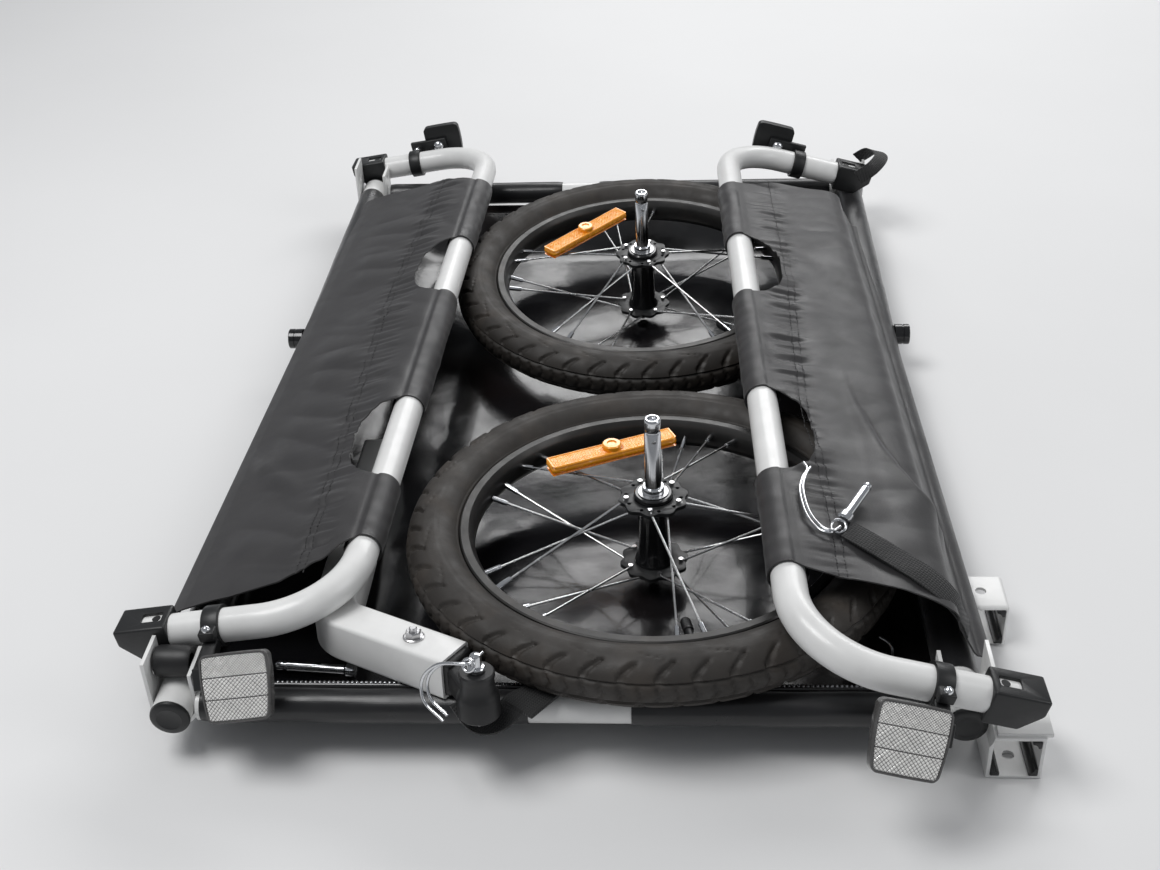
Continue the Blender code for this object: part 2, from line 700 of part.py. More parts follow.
def valve(name, place, angle):
    turn = place @ Matrix.Rotation(math.radians(angle), 4, "Z")
    root, top = Vector((RIM_IN - 0.0012, 0, 0)), Vector((RIM_IN - 0.0270, 0, 0))
    adopt(rod(0.0040, turn @ root, turn @ top, 12), name, "black_rubber")


def wheels():
    for end, spec in WHEELS.items():
        place = wheel_place(spec)
        tyre(f"{end}_wheel_tyre", place)
        rim(f"{end}_wheel_rim", place)
        spoke_set(f"{end}_wheel_spokes", place, spec["turn"])
        hub(f"{end}_wheel_hub", place)
        axle(f"{end}_wheel_axle", place)
        axle_button(f"{end}_axle_button", place)
        wheel_reflector(f"{end}_wheel_reflector", place, spec["reflector"])
        valve(f"{end}_wheel_valve", place, spec["valve"])


# ------------------------------------------------------------------- tow bar


TOW = Matrix.Translation(TOW_REST) @ Matrix.Rotation(math.radians(TOW_PITCH), 4, "X")


def tow_bar():
    """A square tube with a bend, its flexible connector bolted in the end, and the hitch pin in that."""
    half = TOW_SIZE / 2
    route = [Vector(p) for p in TOW_ROUTE]
    left, right = [], []
    for i, point in enumerate(route):
        before = (point - route[i - 1]).normalized() if i else None
        after = (route[i + 1] - point).normalized() if i + 1 < len(route) else None
        along = ((before or after) + (after or before)).normalized()
        normal = Vector((-along.y, along.x)) * half
        if before and after:
            normal /= before.dot(along)
        left.append(tuple(point + normal))
        right.append(tuple(point - normal))
    end, along = route[-1], (route[-1] - route[-2]).normalized()
    turn = Matrix.Rotation(math.atan2(along.y, along.x), 4, "Z")
    here = TOW @ Matrix.Translation((*end, 0)) @ turn

    def fitted(obj):
        obj.data.transform(here)
        return obj

    bar = outline(left + right[::-1], half, TOW)
    wall = 0.0022
    boolean(bar, fitted(block((0.130, TOW_SIZE - 2 * wall, TOW_SIZE - 2 * wall), (0.005, 0, 0))))
    boolean(bar, fitted(rod(0.0034, (-0.036, 0, -0.03), (-0.036, 0, 0.03), 12)))
    adopt(bar, "tow_bar", "white_paint")

    inside = TOW_SIZE - 2 * wall - 2 * GAP
    plug = bevel(block((0.058, inside, inside), (-0.024, 0, 0)), 0.002)
    fitted(plug)
    x, y = TOW_HEAD
    neck_turn = Matrix.Rotation(math.atan2(y, x), 4, "Z")
    boolean(plug, fitted(block((0.044, 0.020, 0.020), (x / 2, y / 2, 0), neck_turn)), "UNION")
    boolean(plug, fitted(rod(0.0150, (x, y, -0.0120), (x, y, 0.0240), 20)), "UNION")
    boolean(plug, fitted(rod(0.0044, (x, y, -0.03), (x, y, 0.05), 16)))
    boolean(plug, fitted(rod(0.0034, (-0.036, 0, -0.03), (-0.036, 0, 0.03), 12)))
    adopt(plug, "flex_connector", "black_rubber")

    bolt = fitted(rod(0.0031, (-0.036, 0, -half), (-0.036, 0, half + 0.001), 12))
    boolean(bolt, fitted(rod(0.0062, (-0.036, 0, half + GAP), (-0.036, 0, half + 0.0042), 6)), "UNION")
    adopt(bolt, "connector_bolt", "steel")

    pin = fitted(rod(0.0038, (x, y, -0.0115), (x, y, 0.0380), 12))
    boolean(pin, fitted(rod(0.0060, (x, y, 0.0243), (x, y, 0.0280), 12)), "UNION")
    boolean(pin, fitted(rod(0.0016, (x, y - 0.02, 0.0340), (x, y + 0.02, 0.0340), 10)))
    adopt(pin, "hitch_pin", "steel")

    bow = [(0, 0.0085, 0.0340), (0, -0.0060, 0.0340), (-0.004, -0.0100, 0.0345), (-0.0220, -0.0140, 0.0300)]
    bow += [(-0.0330, -0.0180, 0.0170), (-0.0300, -0.0220, 0.0020), (-0.0120, -0.0250, -0.0060)]
    adopt(fitted(pipe([(x + a, y + b, c) for a, b, c in bow], 0.0012, 1)), "hitch_keeper", "steel")


def loose_pin():
    """A lock pin left on the floor."""
    z = TUBE_Z - 0.0100
    start, end = Vector((-0.160, -0.3850, z)), Vector((-0.220, -0.3800, z))
    along = (end - start).normalized()
    shaft = rod(0.0039, start, end, 12)
    boolean(shaft, rod(0.0055, start - along * 0.001, start + along * 0.006, 12), "UNION")
    adopt(shaft, "floor_lock_pin", "steel")


def centre_on_origin():
    """Hangs everything, its cutters too, on one empty that brings the middle to the origin."""
    base = bpy.data.objects.new("trailer", None)
    base.location = (-MIDDLE[0], -MIDDLE[1], 0)
    for obj in [*TRAILER.objects, *CUTTERS.objects]:
        if obj.parent is None:
            obj.parent = base
    TRAILER.objects.link(base)


base_tubes()
brackets()
wheel_receivers()
tow_receivers()
floor_panel()
side_frames()
wheels()
tow_bar()
loose_pin()
centre_on_origin()
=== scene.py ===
"""The looks of a folded bicycle trailer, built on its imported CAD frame.

Shapes are made in the frame's own metres, at the places the CAD gives them: +X the side with the tow-bar
sockets, +Y the rear, +Z up. HERE moves the base frame's own middle to where the CAD has it.
"""
import math

import bmesh
import bpy
import mathutils
import numpy as np
from mathutils import Matrix, Vector, noise


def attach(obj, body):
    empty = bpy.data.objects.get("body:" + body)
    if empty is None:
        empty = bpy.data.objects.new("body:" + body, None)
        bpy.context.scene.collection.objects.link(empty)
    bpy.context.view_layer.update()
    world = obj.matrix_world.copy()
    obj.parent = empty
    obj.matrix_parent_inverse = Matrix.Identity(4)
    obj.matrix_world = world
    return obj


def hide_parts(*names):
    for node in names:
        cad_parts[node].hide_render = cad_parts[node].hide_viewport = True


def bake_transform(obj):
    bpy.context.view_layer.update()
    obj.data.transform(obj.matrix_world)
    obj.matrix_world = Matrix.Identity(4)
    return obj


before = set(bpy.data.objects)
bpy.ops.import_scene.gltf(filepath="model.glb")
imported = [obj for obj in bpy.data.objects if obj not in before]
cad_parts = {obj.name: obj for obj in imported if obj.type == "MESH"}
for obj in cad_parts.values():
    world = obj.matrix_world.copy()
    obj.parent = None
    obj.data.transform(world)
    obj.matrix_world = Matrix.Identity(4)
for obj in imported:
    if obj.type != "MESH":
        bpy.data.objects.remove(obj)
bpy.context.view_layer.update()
HERE = Matrix.Translation((-0.0047, 0.0069, 0.0))

# Sizes and places shared with the CAD, in metres and degrees.
TUBE_Z = 0.040
HALF_W = 0.281
SIDE_SPAN = (-0.445, 0.4520)
SIDE_R = 0.0143
CROSS_R = 0.0111
CROSS_Y = {"front": -0.433, "rear": 0.4405}
GAP = 0.0003
BRACKET_Y = {"front": -0.420, "rear": 0.442}
BRACKET_DEPTH = 0.032
BRACKET_IN = 0.0148
BRACKET_OUT = 0.0175
FLANGE_TOP = {"outer": 0.0400, "inner": 0.0300}
FRAME_R = 0.0127
FRAME_H = 0.170
FRAME_HALF_L = (BRACKET_Y["rear"] - BRACKET_Y["front"]) / 2
FRAME_MID_Y = (BRACKET_Y["front"] + BRACKET_Y["rear"]) / 2
BEND_R = 0.065
FOOT_LENGTH = 0.040
FOOT_HALF = 0.0143
FOOT_DEPTH = 0.0276
TUBE_START = 0.0190
SHIFT = {"left": 0.0310, "right": -0.0350}
SIDE = {"left": -1, "right": 1}
PIVOT_OUT = {"left": 0.0109, "right": 0.0110}
PIVOT_UP = {"left": 0.0345, "right": 0.0424}
PIVOT_TO_TIP = -0.0252
SHIFT_X = {"left": -0.0020, "right": 0.0}
FOLD_DEG = {"left": 80.7, "right": 74.3}
PITCH_DEG = {"left": -0.76, "right": -0.15}
YAW_DEG = {"left": -1.3, "right": 1.7}
CLAMP_WIDTH = 0.0130
REFLECTORS = {
    "front": {
        "ahead": -1, "clamp": (0.073, 0.073), "lens": (0.101, 0.097), "reach": (0.0560, 0.0460),
        "out": -0.0120, "lean": 35.0, "size": 0.048, "plate": 0.0070,
    },
    "rear": {
        "ahead": 1, "clamp": (0.077, 0.085), "lens": (0.109, 0.116), "reach": (0.0300, 0.0230),
        "out": 0.0120, "lean": 0.0, "size": 0.040, "plate": -0.0020,
    },
}
RECEIVER = 0.0384
RECEIVER_WALL = 0.0026
RECEIVER_X = 0.3147
RECEIVER_SPAN = {"front": (-0.458, -0.418), "rear": (-0.320, -0.280)}
TYRE_MID_R = 0.173
TYRE_R = 0.0218
RIM_IN = 0.1415
RIM_OUT = 0.1525
RIM_HALF = 0.0125
FLANGE_R = 0.026
FLANGE_Z = 0.0305
HUB_R = 0.0150
HUB_END = 0.036
AXLE_R = 0.0064
AXLE_TIP = 0.103
SPOKES_A_SIDE = 10
WHEELS = {
    "front": {
        "at": (0.063, -0.265, TUBE_Z + 0.0310), "tilt": -1.4, "turn": 12.0,
        "reflector": 115.0, "valve": -78.0,
    },
    "rear": {
        "at": (0.046, 0.196, TUBE_Z + 0.0110), "tilt": 4.2, "turn": 36.0,
        "reflector": 138.0, "valve": -48.0,
    },
}
TOW_SIZE = 0.032
TOW_WALL = 0.0022
TOW_REST = (0.0, -0.433, TUBE_Z + 0.0277)
TOW_PITCH = -7.15
TOW_HEAD = (0.0345, -0.0200)
TOW_ROUTE = ((-0.1860, 0.343), (-0.1752, 0.0819), (-0.1587, 0.0551), (-0.0755, 0.0086))

# ------------------------------------------------------------------ materials


def link(tree, out, into):
    tree.links.new(out, into)


def noise_node(tree, coords, scale, detail=4.0, stretch=None):
    node = tree.nodes.new("ShaderNodeTexNoise")
    node.inputs["Scale"].default_value = scale
    node.inputs["Detail"].default_value = detail
    if stretch:
        mapping = tree.nodes.new("ShaderNodeMapping")
        mapping.inputs["Scale"].default_value = stretch
        link(tree, coords, mapping.inputs["Vector"])
        coords = mapping.outputs["Vector"]
    link(tree, coords, node.inputs["Vector"])
    return node.outputs["Fac"]


def ranged(tree, value, low, high, start=0.3, end=0.7):
    node = tree.nodes.new("ShaderNodeMapRange")
    node.inputs["From Min"].default_value = start
    node.inputs["From Max"].default_value = end
    node.inputs["To Min"].default_value = low
    node.inputs["To Max"].default_value = high
    link(tree, value, node.inputs["Value"])
    return node.outputs["Result"]


def mixed(tree, factor, first, second):
    node = tree.nodes.new("ShaderNodeMix")
    node.data_type = "RGBA"
    link(tree, factor, node.inputs["Factor"])
    for socket, value in ((node.inputs["A"], first), (node.inputs["B"], second)):
        if hasattr(value, "node"):
            link(tree, value, socket)
        else:
            socket.default_value = (*value, 1.0)
    return node.outputs["Result"]


def bumped(tree, height, distance, strength, before=None):
    node = tree.nodes.new("ShaderNodeBump")
    node.inputs["Distance"].default_value = distance
    node.inputs["Strength"].default_value = strength
    link(tree, height, node.inputs["Height"])
    if before:
        link(tree, before, node.inputs["Normal"])
    return node.outputs["Normal"]


def weave_node(tree, coords, period, turn=0.0):
    """Threads crossing at right angles: the higher of two sets of ridges."""
    mapping = tree.nodes.new("ShaderNodeMapping")
    mapping.inputs["Rotation"].default_value = (0, 0, turn)
    link(tree, coords, mapping.inputs["Vector"])
    waves = []
    for direction in ("X", "Y"):
        wave = tree.nodes.new("ShaderNodeTexWave")
        wave.bands_direction = direction
        wave.inputs["Scale"].default_value = 0.314 / period
        wave.inputs["Distortion"].default_value = 0.4
        link(tree, mapping.outputs["Vector"], wave.inputs["Vector"])
        waves.append(wave.outputs["Fac"])
    top = tree.nodes.new("ShaderNodeMath")
    top.operation = "MAXIMUM"
    link(tree, waves[0], top.inputs[0])
    link(tree, waves[1], top.inputs[1])
    return top.outputs["Value"]


def surface(
    name, colour, rough, metal=0.0, tint=0.10, tint_scale=35.0, rough_vary=0.06, grain=(700.0, 0.0002, 0.2),
    broad=None, weave=None, worn=None, **sockets,
):
    """A Principled material whose colour, roughness and relief all vary over the surface."""
    made = bpy.data.materials.new(name)
    made.use_nodes = True
    tree = made.node_tree
    shader = tree.nodes["Principled BSDF"]
    coords = tree.nodes.new("ShaderNodeTexCoord").outputs["Object"]
    cloud = noise_node(tree, coords, tint_scale, 6.0)
    dark = tuple(c * (1 - tint) for c in colour)
    light = tuple(min(1.0, c * (1 + tint)) for c in colour)
    base = mixed(tree, ranged(tree, cloud, 0.0, 1.0), dark, light)
    if worn:
        shade, scale, amount = worn
        patches = ranged(tree, noise_node(tree, coords, scale, 8.0), 0.0, amount, 0.50, 0.72)
        base = mixed(tree, patches, base, shade)
    link(tree, base, shader.inputs["Base Color"])
    smear = noise_node(tree, coords, tint_scale * 2.3, 5.0)
    roughness = ranged(tree, smear, max(0.02, rough - rough_vary), rough + rough_vary)
    link(tree, roughness, shader.inputs["Roughness"])
    shader.inputs["Metallic"].default_value = metal
    scale, distance, strength = grain
    normal = bumped(tree, noise_node(tree, coords, scale, 3.0), distance, strength)
    if weave:
        period, distance, strength, turn = weave
        normal = bumped(tree, weave_node(tree, coords, period, turn), distance, strength, normal)
    if broad:
        scale, distance, strength = broad
        normal = bumped(tree, noise_node(tree, coords, scale, 4.0), distance, strength, normal)
    link(tree, normal, shader.inputs["Normal"])
    for socket, value in sockets.items():
        shader.inputs[socket.replace("_", " ")].default_value = value
    return made


PAINT = surface(
    "white_powder_coat", (0.74, 0.74, 0.73), 0.34, tint=0.04, grain=(1400.0, 0.0001, 0.25),
    broad=(180.0, 0.0003, 0.10), worn=((0.50, 0.49, 0.47), 60.0, 0.10), Coat_Weight=0.15,
)
PANEL = surface(
    "panel_fabric", (0.026, 0.025, 0.026), 0.47, tint=0.14, tint_scale=14.0, rough_vary=0.10,
    grain=(1500.0, 0.0002, 0.30), weave=(0.0011, 0.00012, 0.35, 0.0), broad=(55.0, 0.0012, 0.22),
    Sheen_Weight=0.12, Sheen_Roughness=0.4,
)
FLOOR_CLOTH = surface(
    "floor_fabric", (0.007, 0.007, 0.008), 0.20, tint=0.2, tint_scale=10.0, rough_vary=0.07,
    grain=(1300.0, 0.00015, 0.20), weave=(0.0012, 0.0001, 0.15, 0.0), broad=(16.0, 0.004, 0.25),
    worn=((0.026, 0.013, 0.008), 7.0, 0.30), Coat_Weight=0.15,
)
SLEEVE_CLOTH = surface(
    "tube_sleeve_fabric", (0.010, 0.010, 0.011), 0.33, tint=0.15, grain=(1300.0, 0.0002, 0.25),
    weave=(0.0012, 0.0001, 0.25, 0.0), broad=(70.0, 0.0008, 0.15), Sheen_Weight=0.1,
)
WEBBING = surface(
    "webbing", (0.006, 0.006, 0.0065), 0.66, tint=0.2, grain=(1100.0, 0.0002, 0.3),
    weave=(0.0021, 0.0005, 0.8, 0.6), Sheen_Weight=0.12, Sheen_Roughness=0.5,
)
STITCH = surface("stitching", (0.006, 0.006, 0.0065), 0.6, grain=(2000.0, 0.0002, 0.5))
TYRE = surface(
    "tyre_rubber", (0.024, 0.0205, 0.0175), 0.62, tint=0.22, tint_scale=26.0, rough_vary=0.12,
    grain=(900.0, 0.0003, 0.4), broad=(120.0, 0.0004, 0.25), worn=((0.052, 0.041, 0.032), 34.0, 0.45),
)
RUBBER = surface("black_rubber", (0.009, 0.009, 0.0095), 0.45, grain=(900.0, 0.0002, 0.3))
PLASTIC = surface(
    "black_plastic", (0.010, 0.0105, 0.011), 0.42, tint=0.15,
    grain=(1100.0, 0.0002, 0.45), Specular_IOR_Level=0.5,
)
RIM = surface(
    "rim_anodised", (0.045, 0.044, 0.043), 0.36, 0.6, tint=0.12, grain=(1500.0, 0.0001, 0.2),
    worn=((0.10, 0.09, 0.08), 50.0, 0.25),
)
HUB = surface("hub_black", (0.010, 0.010, 0.011), 0.18, 0.3, grain=(1300.0, 0.00008, 0.15), Coat_Weight=0.5)
CHROME = surface(
    "chrome", (0.72, 0.73, 0.75), 0.13, 1.0, tint=0.05, rough_vary=0.05, grain=(1600.0, 0.00005, 0.15),
)
SPOKE = surface("spoke_steel", (0.66, 0.66, 0.66), 0.24, 1.0, tint=0.08, grain=(1500.0, 0.00005, 0.2))
STEEL = surface(
    "zinc_steel", (0.55, 0.55, 0.56), 0.30, 1.0, tint=0.10, grain=(1500.0, 0.0001, 0.2),
    worn=((0.36, 0.34, 0.31), 90.0, 0.3),
)
CLEAR = surface(
    "clear_reflector", (0.88, 0.87, 0.85), 0.24, 0.25, tint=0.08, tint_scale=90.0,
    grain=(1500.0, 0.00005, 0.1), Coat_Weight=0.4, Coat_Roughness=0.12,
)
SMOKED = surface(
    "smoked_reflector_edge", (0.115, 0.112, 0.110), 0.22, 0.3, tint=0.15, tint_scale=90.0,
    grain=(1500.0, 0.00005, 0.1), Coat_Weight=0.8, Coat_Roughness=0.06,
)
AMBER = surface(
    "amber_reflector", (1.0, 0.36, 0.012), 0.26, 0.1, tint=0.10, tint_scale=90.0,
    grain=(1500.0, 0.0001, 0.2), Coat_Weight=1.0, Coat_Roughness=0.05,
)
RED = surface(
    "red_reflector", (0.62, 0.012, 0.008), 0.18, 0.15, tint=0.12, tint_scale=90.0,
    grain=(1500.0, 0.0001, 0.2), Coat_Weight=1.0, Coat_Roughness=0.05,
)

# -------------------------------------------------------------------- shapes


def from_bmesh(fill, matrix=Matrix()):
    shape = bmesh.new()
    fill(shape)
    bmesh.ops.transform(shape, matrix=matrix, verts=shape.verts)
    mesh = bpy.data.meshes.new("shape")
    shape.to_mesh(mesh)
    shape.free()
    return bpy.data.objects.new("shape", mesh)


def rotation(degrees, axis):
    return Matrix.Rotation(math.radians(degrees), 4, axis)


def pointing(axis):
    return Vector(axis).to_track_quat("Z", "Y").to_matrix().to_4x4()


def rod(radius, start, end, sides=32, end_radius=None):
    start, end = Vector(start), Vector(end)
    far = radius if end_radius is None else end_radius

    def fill(shape):
        bmesh.ops.create_cone(
            shape, cap_ends=True, segments=sides, radius1=radius, radius2=far, depth=(end - start).length,
        )

    return from_bmesh(fill, Matrix.Translation((start + end) / 2) @ pointing(end - start))


def block(size, centre, turn=Matrix()):
    place = Matrix.Translation(centre) @ turn @ Matrix.Diagonal((*size, 1))
    return from_bmesh(lambda shape: bmesh.ops.create_cube(shape, size=1.0), place)


def curve_mesh(curve, matrix):
    guide = bpy.data.objects.new("guide", curve)
    bpy.context.scene.collection.objects.link(guide)
    graph = bpy.context.evaluated_depsgraph_get()
    mesh = bpy.data.meshes.new_from_object(guide.evaluated_get(graph))
    bpy.data.objects.remove(guide)
    shape = bmesh.new()
    shape.from_mesh(mesh)
    bmesh.ops.remove_doubles(shape, verts=shape.verts, dist=0.00001)
    bmesh.ops.recalc_face_normals(shape, faces=shape.faces)
    bmesh.ops.transform(shape, matrix=matrix, verts=shape.verts)
    shape.to_mesh(mesh)
    shape.free()
    return bpy.data.objects.new("shape", mesh)


def outline(points, half_depth, matrix=Matrix()):
    curve = bpy.data.curves.new("outline", "CURVE")
    curve.dimensions = "2D"
    curve.fill_mode = "BOTH"
    curve.extrude = half_depth
    spline = curve.splines.new("POLY")
    spline.points.add(len(points) - 1)
    for point, (x, y) in zip(spline.points, points):
        point.co = (x, y, 0, 1)
    spline.use_cyclic_u = True
    return curve_mesh(curve, matrix)


def smooth_path(points, step=0.004):
    """Points on a smooth curve through the given ones."""
    path = [Vector(p) for p in points]
    ends = [2 * path[0] - path[1], *path, 2 * path[-1] - path[-2]]
    made = []
    for a, b, c, d in zip(ends, ends[1:], ends[2:], ends[3:]):
        count = max(2, int((c - b).length / step))
        for i in range(count):
            t = i / count
            made.append(
                0.5 * ((2 * b) + (c - a) * t + (2 * a - 5 * b + 4 * c - d) * t * t + (3 * b - a - 3 * c + d) * t ** 3)
            )
    return [*made, path[-1]]


def pipe(points, radius, resolution=6, matrix=Matrix(), cyclic=False):
    curve = bpy.data.curves.new("pipe", "CURVE")
    curve.dimensions = "3D"
    curve.bevel_depth = radius
    curve.bevel_resolution = resolution
    curve.use_fill_caps = True
    spline = curve.splines.new("POLY")
    spline.points.add(len(points) - 1)
    for point, place in zip(spline.points, points):
        point.co = (*place, 1)
    spline.use_cyclic_u = cyclic
    return curve_mesh(curve, matrix)


def turned(profile, steps=96, matrix=Matrix()):
    """A closed (radius, height) profile turned about local Z."""
    def fill(shape):
        ring = [shape.verts.new((r, 0, z)) for r, z in profile]
        for a, b in zip(ring, ring[1:] + ring[:1]):
            shape.edges.new((a, b))
        bmesh.ops.spin(
            shape, geom=shape.verts[:] + shape.edges[:], cent=(0, 0, 0), axis=(0, 0, 1),
            angle=2 * math.pi, steps=steps, use_merge=True,
        )
        bmesh.ops.remove_doubles(shape, verts=shape.verts, dist=0.00001)
        bmesh.ops.recalc_face_normals(shape, faces=shape.faces)

    return from_bmesh(fill, matrix)


def grid(columns, rows, place, cyclic=False):
    """A sheet of columns by rows faces; place(s, t) gives each point, s and t from 0 to 1."""
    def fill(shape):
        verts = [
            [shape.verts.new(place(i / columns, j / rows)) for i in range(columns + (not cyclic))]
            for j in range(rows + 1)
        ]
        for lower, upper in zip(verts, verts[1:]):
            for i in range(columns):
                k = (i + 1) % len(lower)
                shape.faces.new((lower[i], lower[k], upper[k], upper[i]))

    return from_bmesh(fill)


def final_mesh(obj):
    """The object with its modifiers made real."""
    if not obj.modifiers:
        return obj
    bpy.context.scene.collection.objects.link(obj)
    graph = bpy.context.evaluated_depsgraph_get()
    mesh = bpy.data.meshes.new_from_object(obj.evaluated_get(graph))
    bpy.data.objects.remove(obj)
    return bpy.data.objects.new("shape", mesh)


def modified(obj, kind, **settings):
    step = obj.modifiers.new(kind.lower(), kind)
    for key, value in settings.items():
        setattr(step, key, value)
    return final_mesh(obj)


def boolean(obj, other, operation="DIFFERENCE"):
    bpy.context.scene.collection.objects.link(other)
    made = modified(obj, "BOOLEAN", operation=operation, solver="EXACT", object=other)
    bpy.data.objects.remove(other)
    return made


def bevel(obj, width, segments=3, angle=30):
    return modified(
        obj, "BEVEL", width=width, segments=segments, limit_method="ANGLE", angle_limit=math.radians(angle),
        use_clamp_overlap=True,
    )


def joined(*objs):
    """Several shapes as one object, without a union."""
    shape = bmesh.new()
    for obj in objs:
        shape.from_mesh(obj.data)
        bpy.data.objects.remove(obj)
    mesh = bpy.data.meshes.new("shape")
    shape.to_mesh(mesh)
    shape.free()
    return bpy.data.objects.new("shape", mesh)


def placed(obj, matrix):
    obj.data.transform(matrix)
    if matrix.determinant() < 0:
        obj.data.flip_normals()
    return obj


def arc(centre, radius, start, end, steps):
    return [
        (
            centre[0] + radius * math.cos(math.radians(start + (end - start) * i / steps)),
            centre[1] + radius * math.sin(math.radians(start + (end - start) * i / steps)),
        )
        for i in range(steps + 1)
    ]


def piece(obj, name, look, body, *nodes, sharp=35, keep_free=False):
    """Puts a finished shape in the scene, on its body, standing for its CAD nodes."""
    obj = final_mesh(obj)
    obj.name = name
    obj.data.name = name
    obj.data.transform(HERE)
    obj.data.materials.clear()
    obj.data.materials.append(look)
    obj.data.shade_smooth()
    obj.data.set_sharp_from_angle(angle=math.radians(sharp))
    bpy.context.scene.collection.objects.link(obj)
    if nodes:
        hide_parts(*nodes)
    if not keep_free:
        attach(obj, body)
    return obj


def ramp(value, low, high):
    t = min(1.0, max(0.0, (value - low) / (high - low)))
    return t * t * (3 - 2 * t)


def along_list(points, at):
    """The value at a place on a list of (place, value) points in rising order."""
    places, values = zip(*points)
    return float(np.interp(at, places, values))


# ---------------------------------------------------------------- base frame


def tube_sleeve(radius, start, end, name, look, body="base", folds=0.0005):
    """A fabric sleeve drawn over a straight tube, slightly loose."""
    start, end = Vector(start), Vector(end)
    turn = pointing(end - start)
    length = (end - start).length

    def place(s, t):
        angle = 2 * math.pi * s
        wrinkle = folds * noise.noise(Vector((math.cos(angle) * 1.5, math.sin(angle) * 1.5, t * length * 22)))
        edge = 0.0006 * (ramp(min(t, 1 - t) * length, 0.0, 0.004) - 1)
        r = radius + wrinkle + edge
        return start + turn.to_3x3() @ Vector((r * math.cos(angle), r * math.sin(angle), t * length))

    rows = max(8, int(length / 0.006))
    return piece(grid(40, rows, place, cyclic=True), name, look, body)


def base_tubes():
    for side, sign in SIDE.items():
        x = sign * HALF_W
        tube = rod(SIDE_R, (x, SIDE_SPAN[0], TUBE_Z), (x, SIDE_SPAN[1], TUBE_Z), 64)
        piece(tube, f"{side}_tube_paint", PAINT, "base", f"{side}_side_tube")
        tube_sleeve(
            SIDE_R + 0.0012, (x, BRACKET_Y["front"] + 0.0165, TUBE_Z),
            (x, BRACKET_Y["rear"] - 0.0165, TUBE_Z),
            f"{side}_tube_sleeve", SLEEVE_CLOTH,
        )
        for end, y in zip(("front", "rear"), SIDE_SPAN):
            out = math.copysign(1, y)
            profile = [(0.0, GAP), (SIDE_R, GAP), (SIDE_R + 0.0004, 0.0012), (SIDE_R, 0.0030)]
            profile += [
                (SIDE_R - 0.0015, 0.0042), (SIDE_R - 0.0050, 0.0045), (SIDE_R - 0.0060, 0.0038), (0.0, 0.0036),
            ]
            turn = Matrix.Translation((x, y, TUBE_Z)) @ rotation(-90 * out, "X")
            piece(
                turned(profile, 64, turn), f"{end}_{side}_cap_moulding",
                PLASTIC, "base", f"{end}_{side}_tube_cap",
            )
    bare = {"front": (-0.024, 0.049), "rear": (-0.054, -0.010)}
    reach = HALF_W - BRACKET_OUT - 0.0004
    for end, y in CROSS_Y.items():
        bar = rod(CROSS_R, (-reach, y, TUBE_Z), (reach, y, TUBE_Z), 48)
        piece(bar, f"{end}_crossbar_paint", PAINT, "base", f"{end}_crossbar")
        low, high = bare[end]
        for side, x0, x1 in (("left", -reach + 0.003, low), ("right", high, reach - 0.003)):
            tube_sleeve(
                CROSS_R + 0.0012, (x0, y, TUBE_Z), (x1, y, TUBE_Z),
                f"{end}_{side}_crossbar_sleeve", SLEEVE_CLOTH,
            )


def bracket_outline(side):
    sign = SIDE[side]
    outer, inner = FLANGE_TOP["outer"], FLANGE_TOP["inner"]
    points = [(-BRACKET_OUT, inner), *arc((0, 0), BRACKET_OUT, 180, 360, 32)]
    points += [(BRACKET_OUT, outer), (BRACKET_IN, outer)]
    points += arc((0, 0), BRACKET_IN, 0, -180, 32)
    points += [(-BRACKET_IN, inner)]
    return [(sign * x, z) for x, z in points]


def brackets():
    for side in SIDE:
        for end, y in BRACKET_Y.items():
            x = SIDE[side] * HALF_W
            upright = Matrix.Translation((x, y, TUBE_Z)) @ rotation(90, "X")
            shape = outline(bracket_outline(side), BRACKET_DEPTH / 2, upright)
            slope = rotation(-58 * math.copysign(1, y), "X")
            edge = y + math.copysign(BRACKET_DEPTH / 2 + 0.0170, y)
            shape = boolean(shape, block((0.06, 0.080, 0.030), (x, edge, TUBE_Z + 0.0420), slope))
            hole_z = TUBE_Z + 0.0215
            shape = boolean(shape, rod(0.0035, (x - 0.03, y, hole_z), (x + 0.03, y, hole_z), 24))
            piece(
                bevel(shape, 0.0008, 3, 50), f"{end}_{side}_bracket_paint",
                PAINT, "base", f"{end}_{side}_bracket",
            )
    x, y = -HALF_W, BRACKET_Y["front"]
    profile = [
        (0.0062, -0.0125), (0.0108, -0.0130), (0.0118, -0.0100), (0.0118, 0.0100), (0.0108, 0.0130),
        (0.0062, 0.0125)
    ]
    across = Matrix.Translation((x, y + 0.004, TUBE_Z + 0.0262)) @ rotation(90, "Y")
    piece(turned(profile, 48, across), "front_left_bracket_collar", RUBBER, "base")


def wheel_receivers():
    y = 0.095
    for side, sign in SIDE.items():
        turn = Matrix.Translation((sign * HALF_W, y, TUBE_Z)) @ rotation(90 * sign, "Y")
        bore = AXLE_R + 0.0002
        profile = [
            (bore, 0.0150), (bore, 0.0285), (bore + 0.0006, 0.0290), (0.0094, 0.0290), (0.0100, 0.0284),
        ]
        profile += [(0.0100, 0.0236), (0.0094, 0.0232), (0.0094, 0.0222), (0.0100, 0.0218), (0.0100, 0.0150)]
        piece(turned(profile, 64, turn), f"{side}_axle_socket", HUB, "base", f"{side}_wheel_receiver")


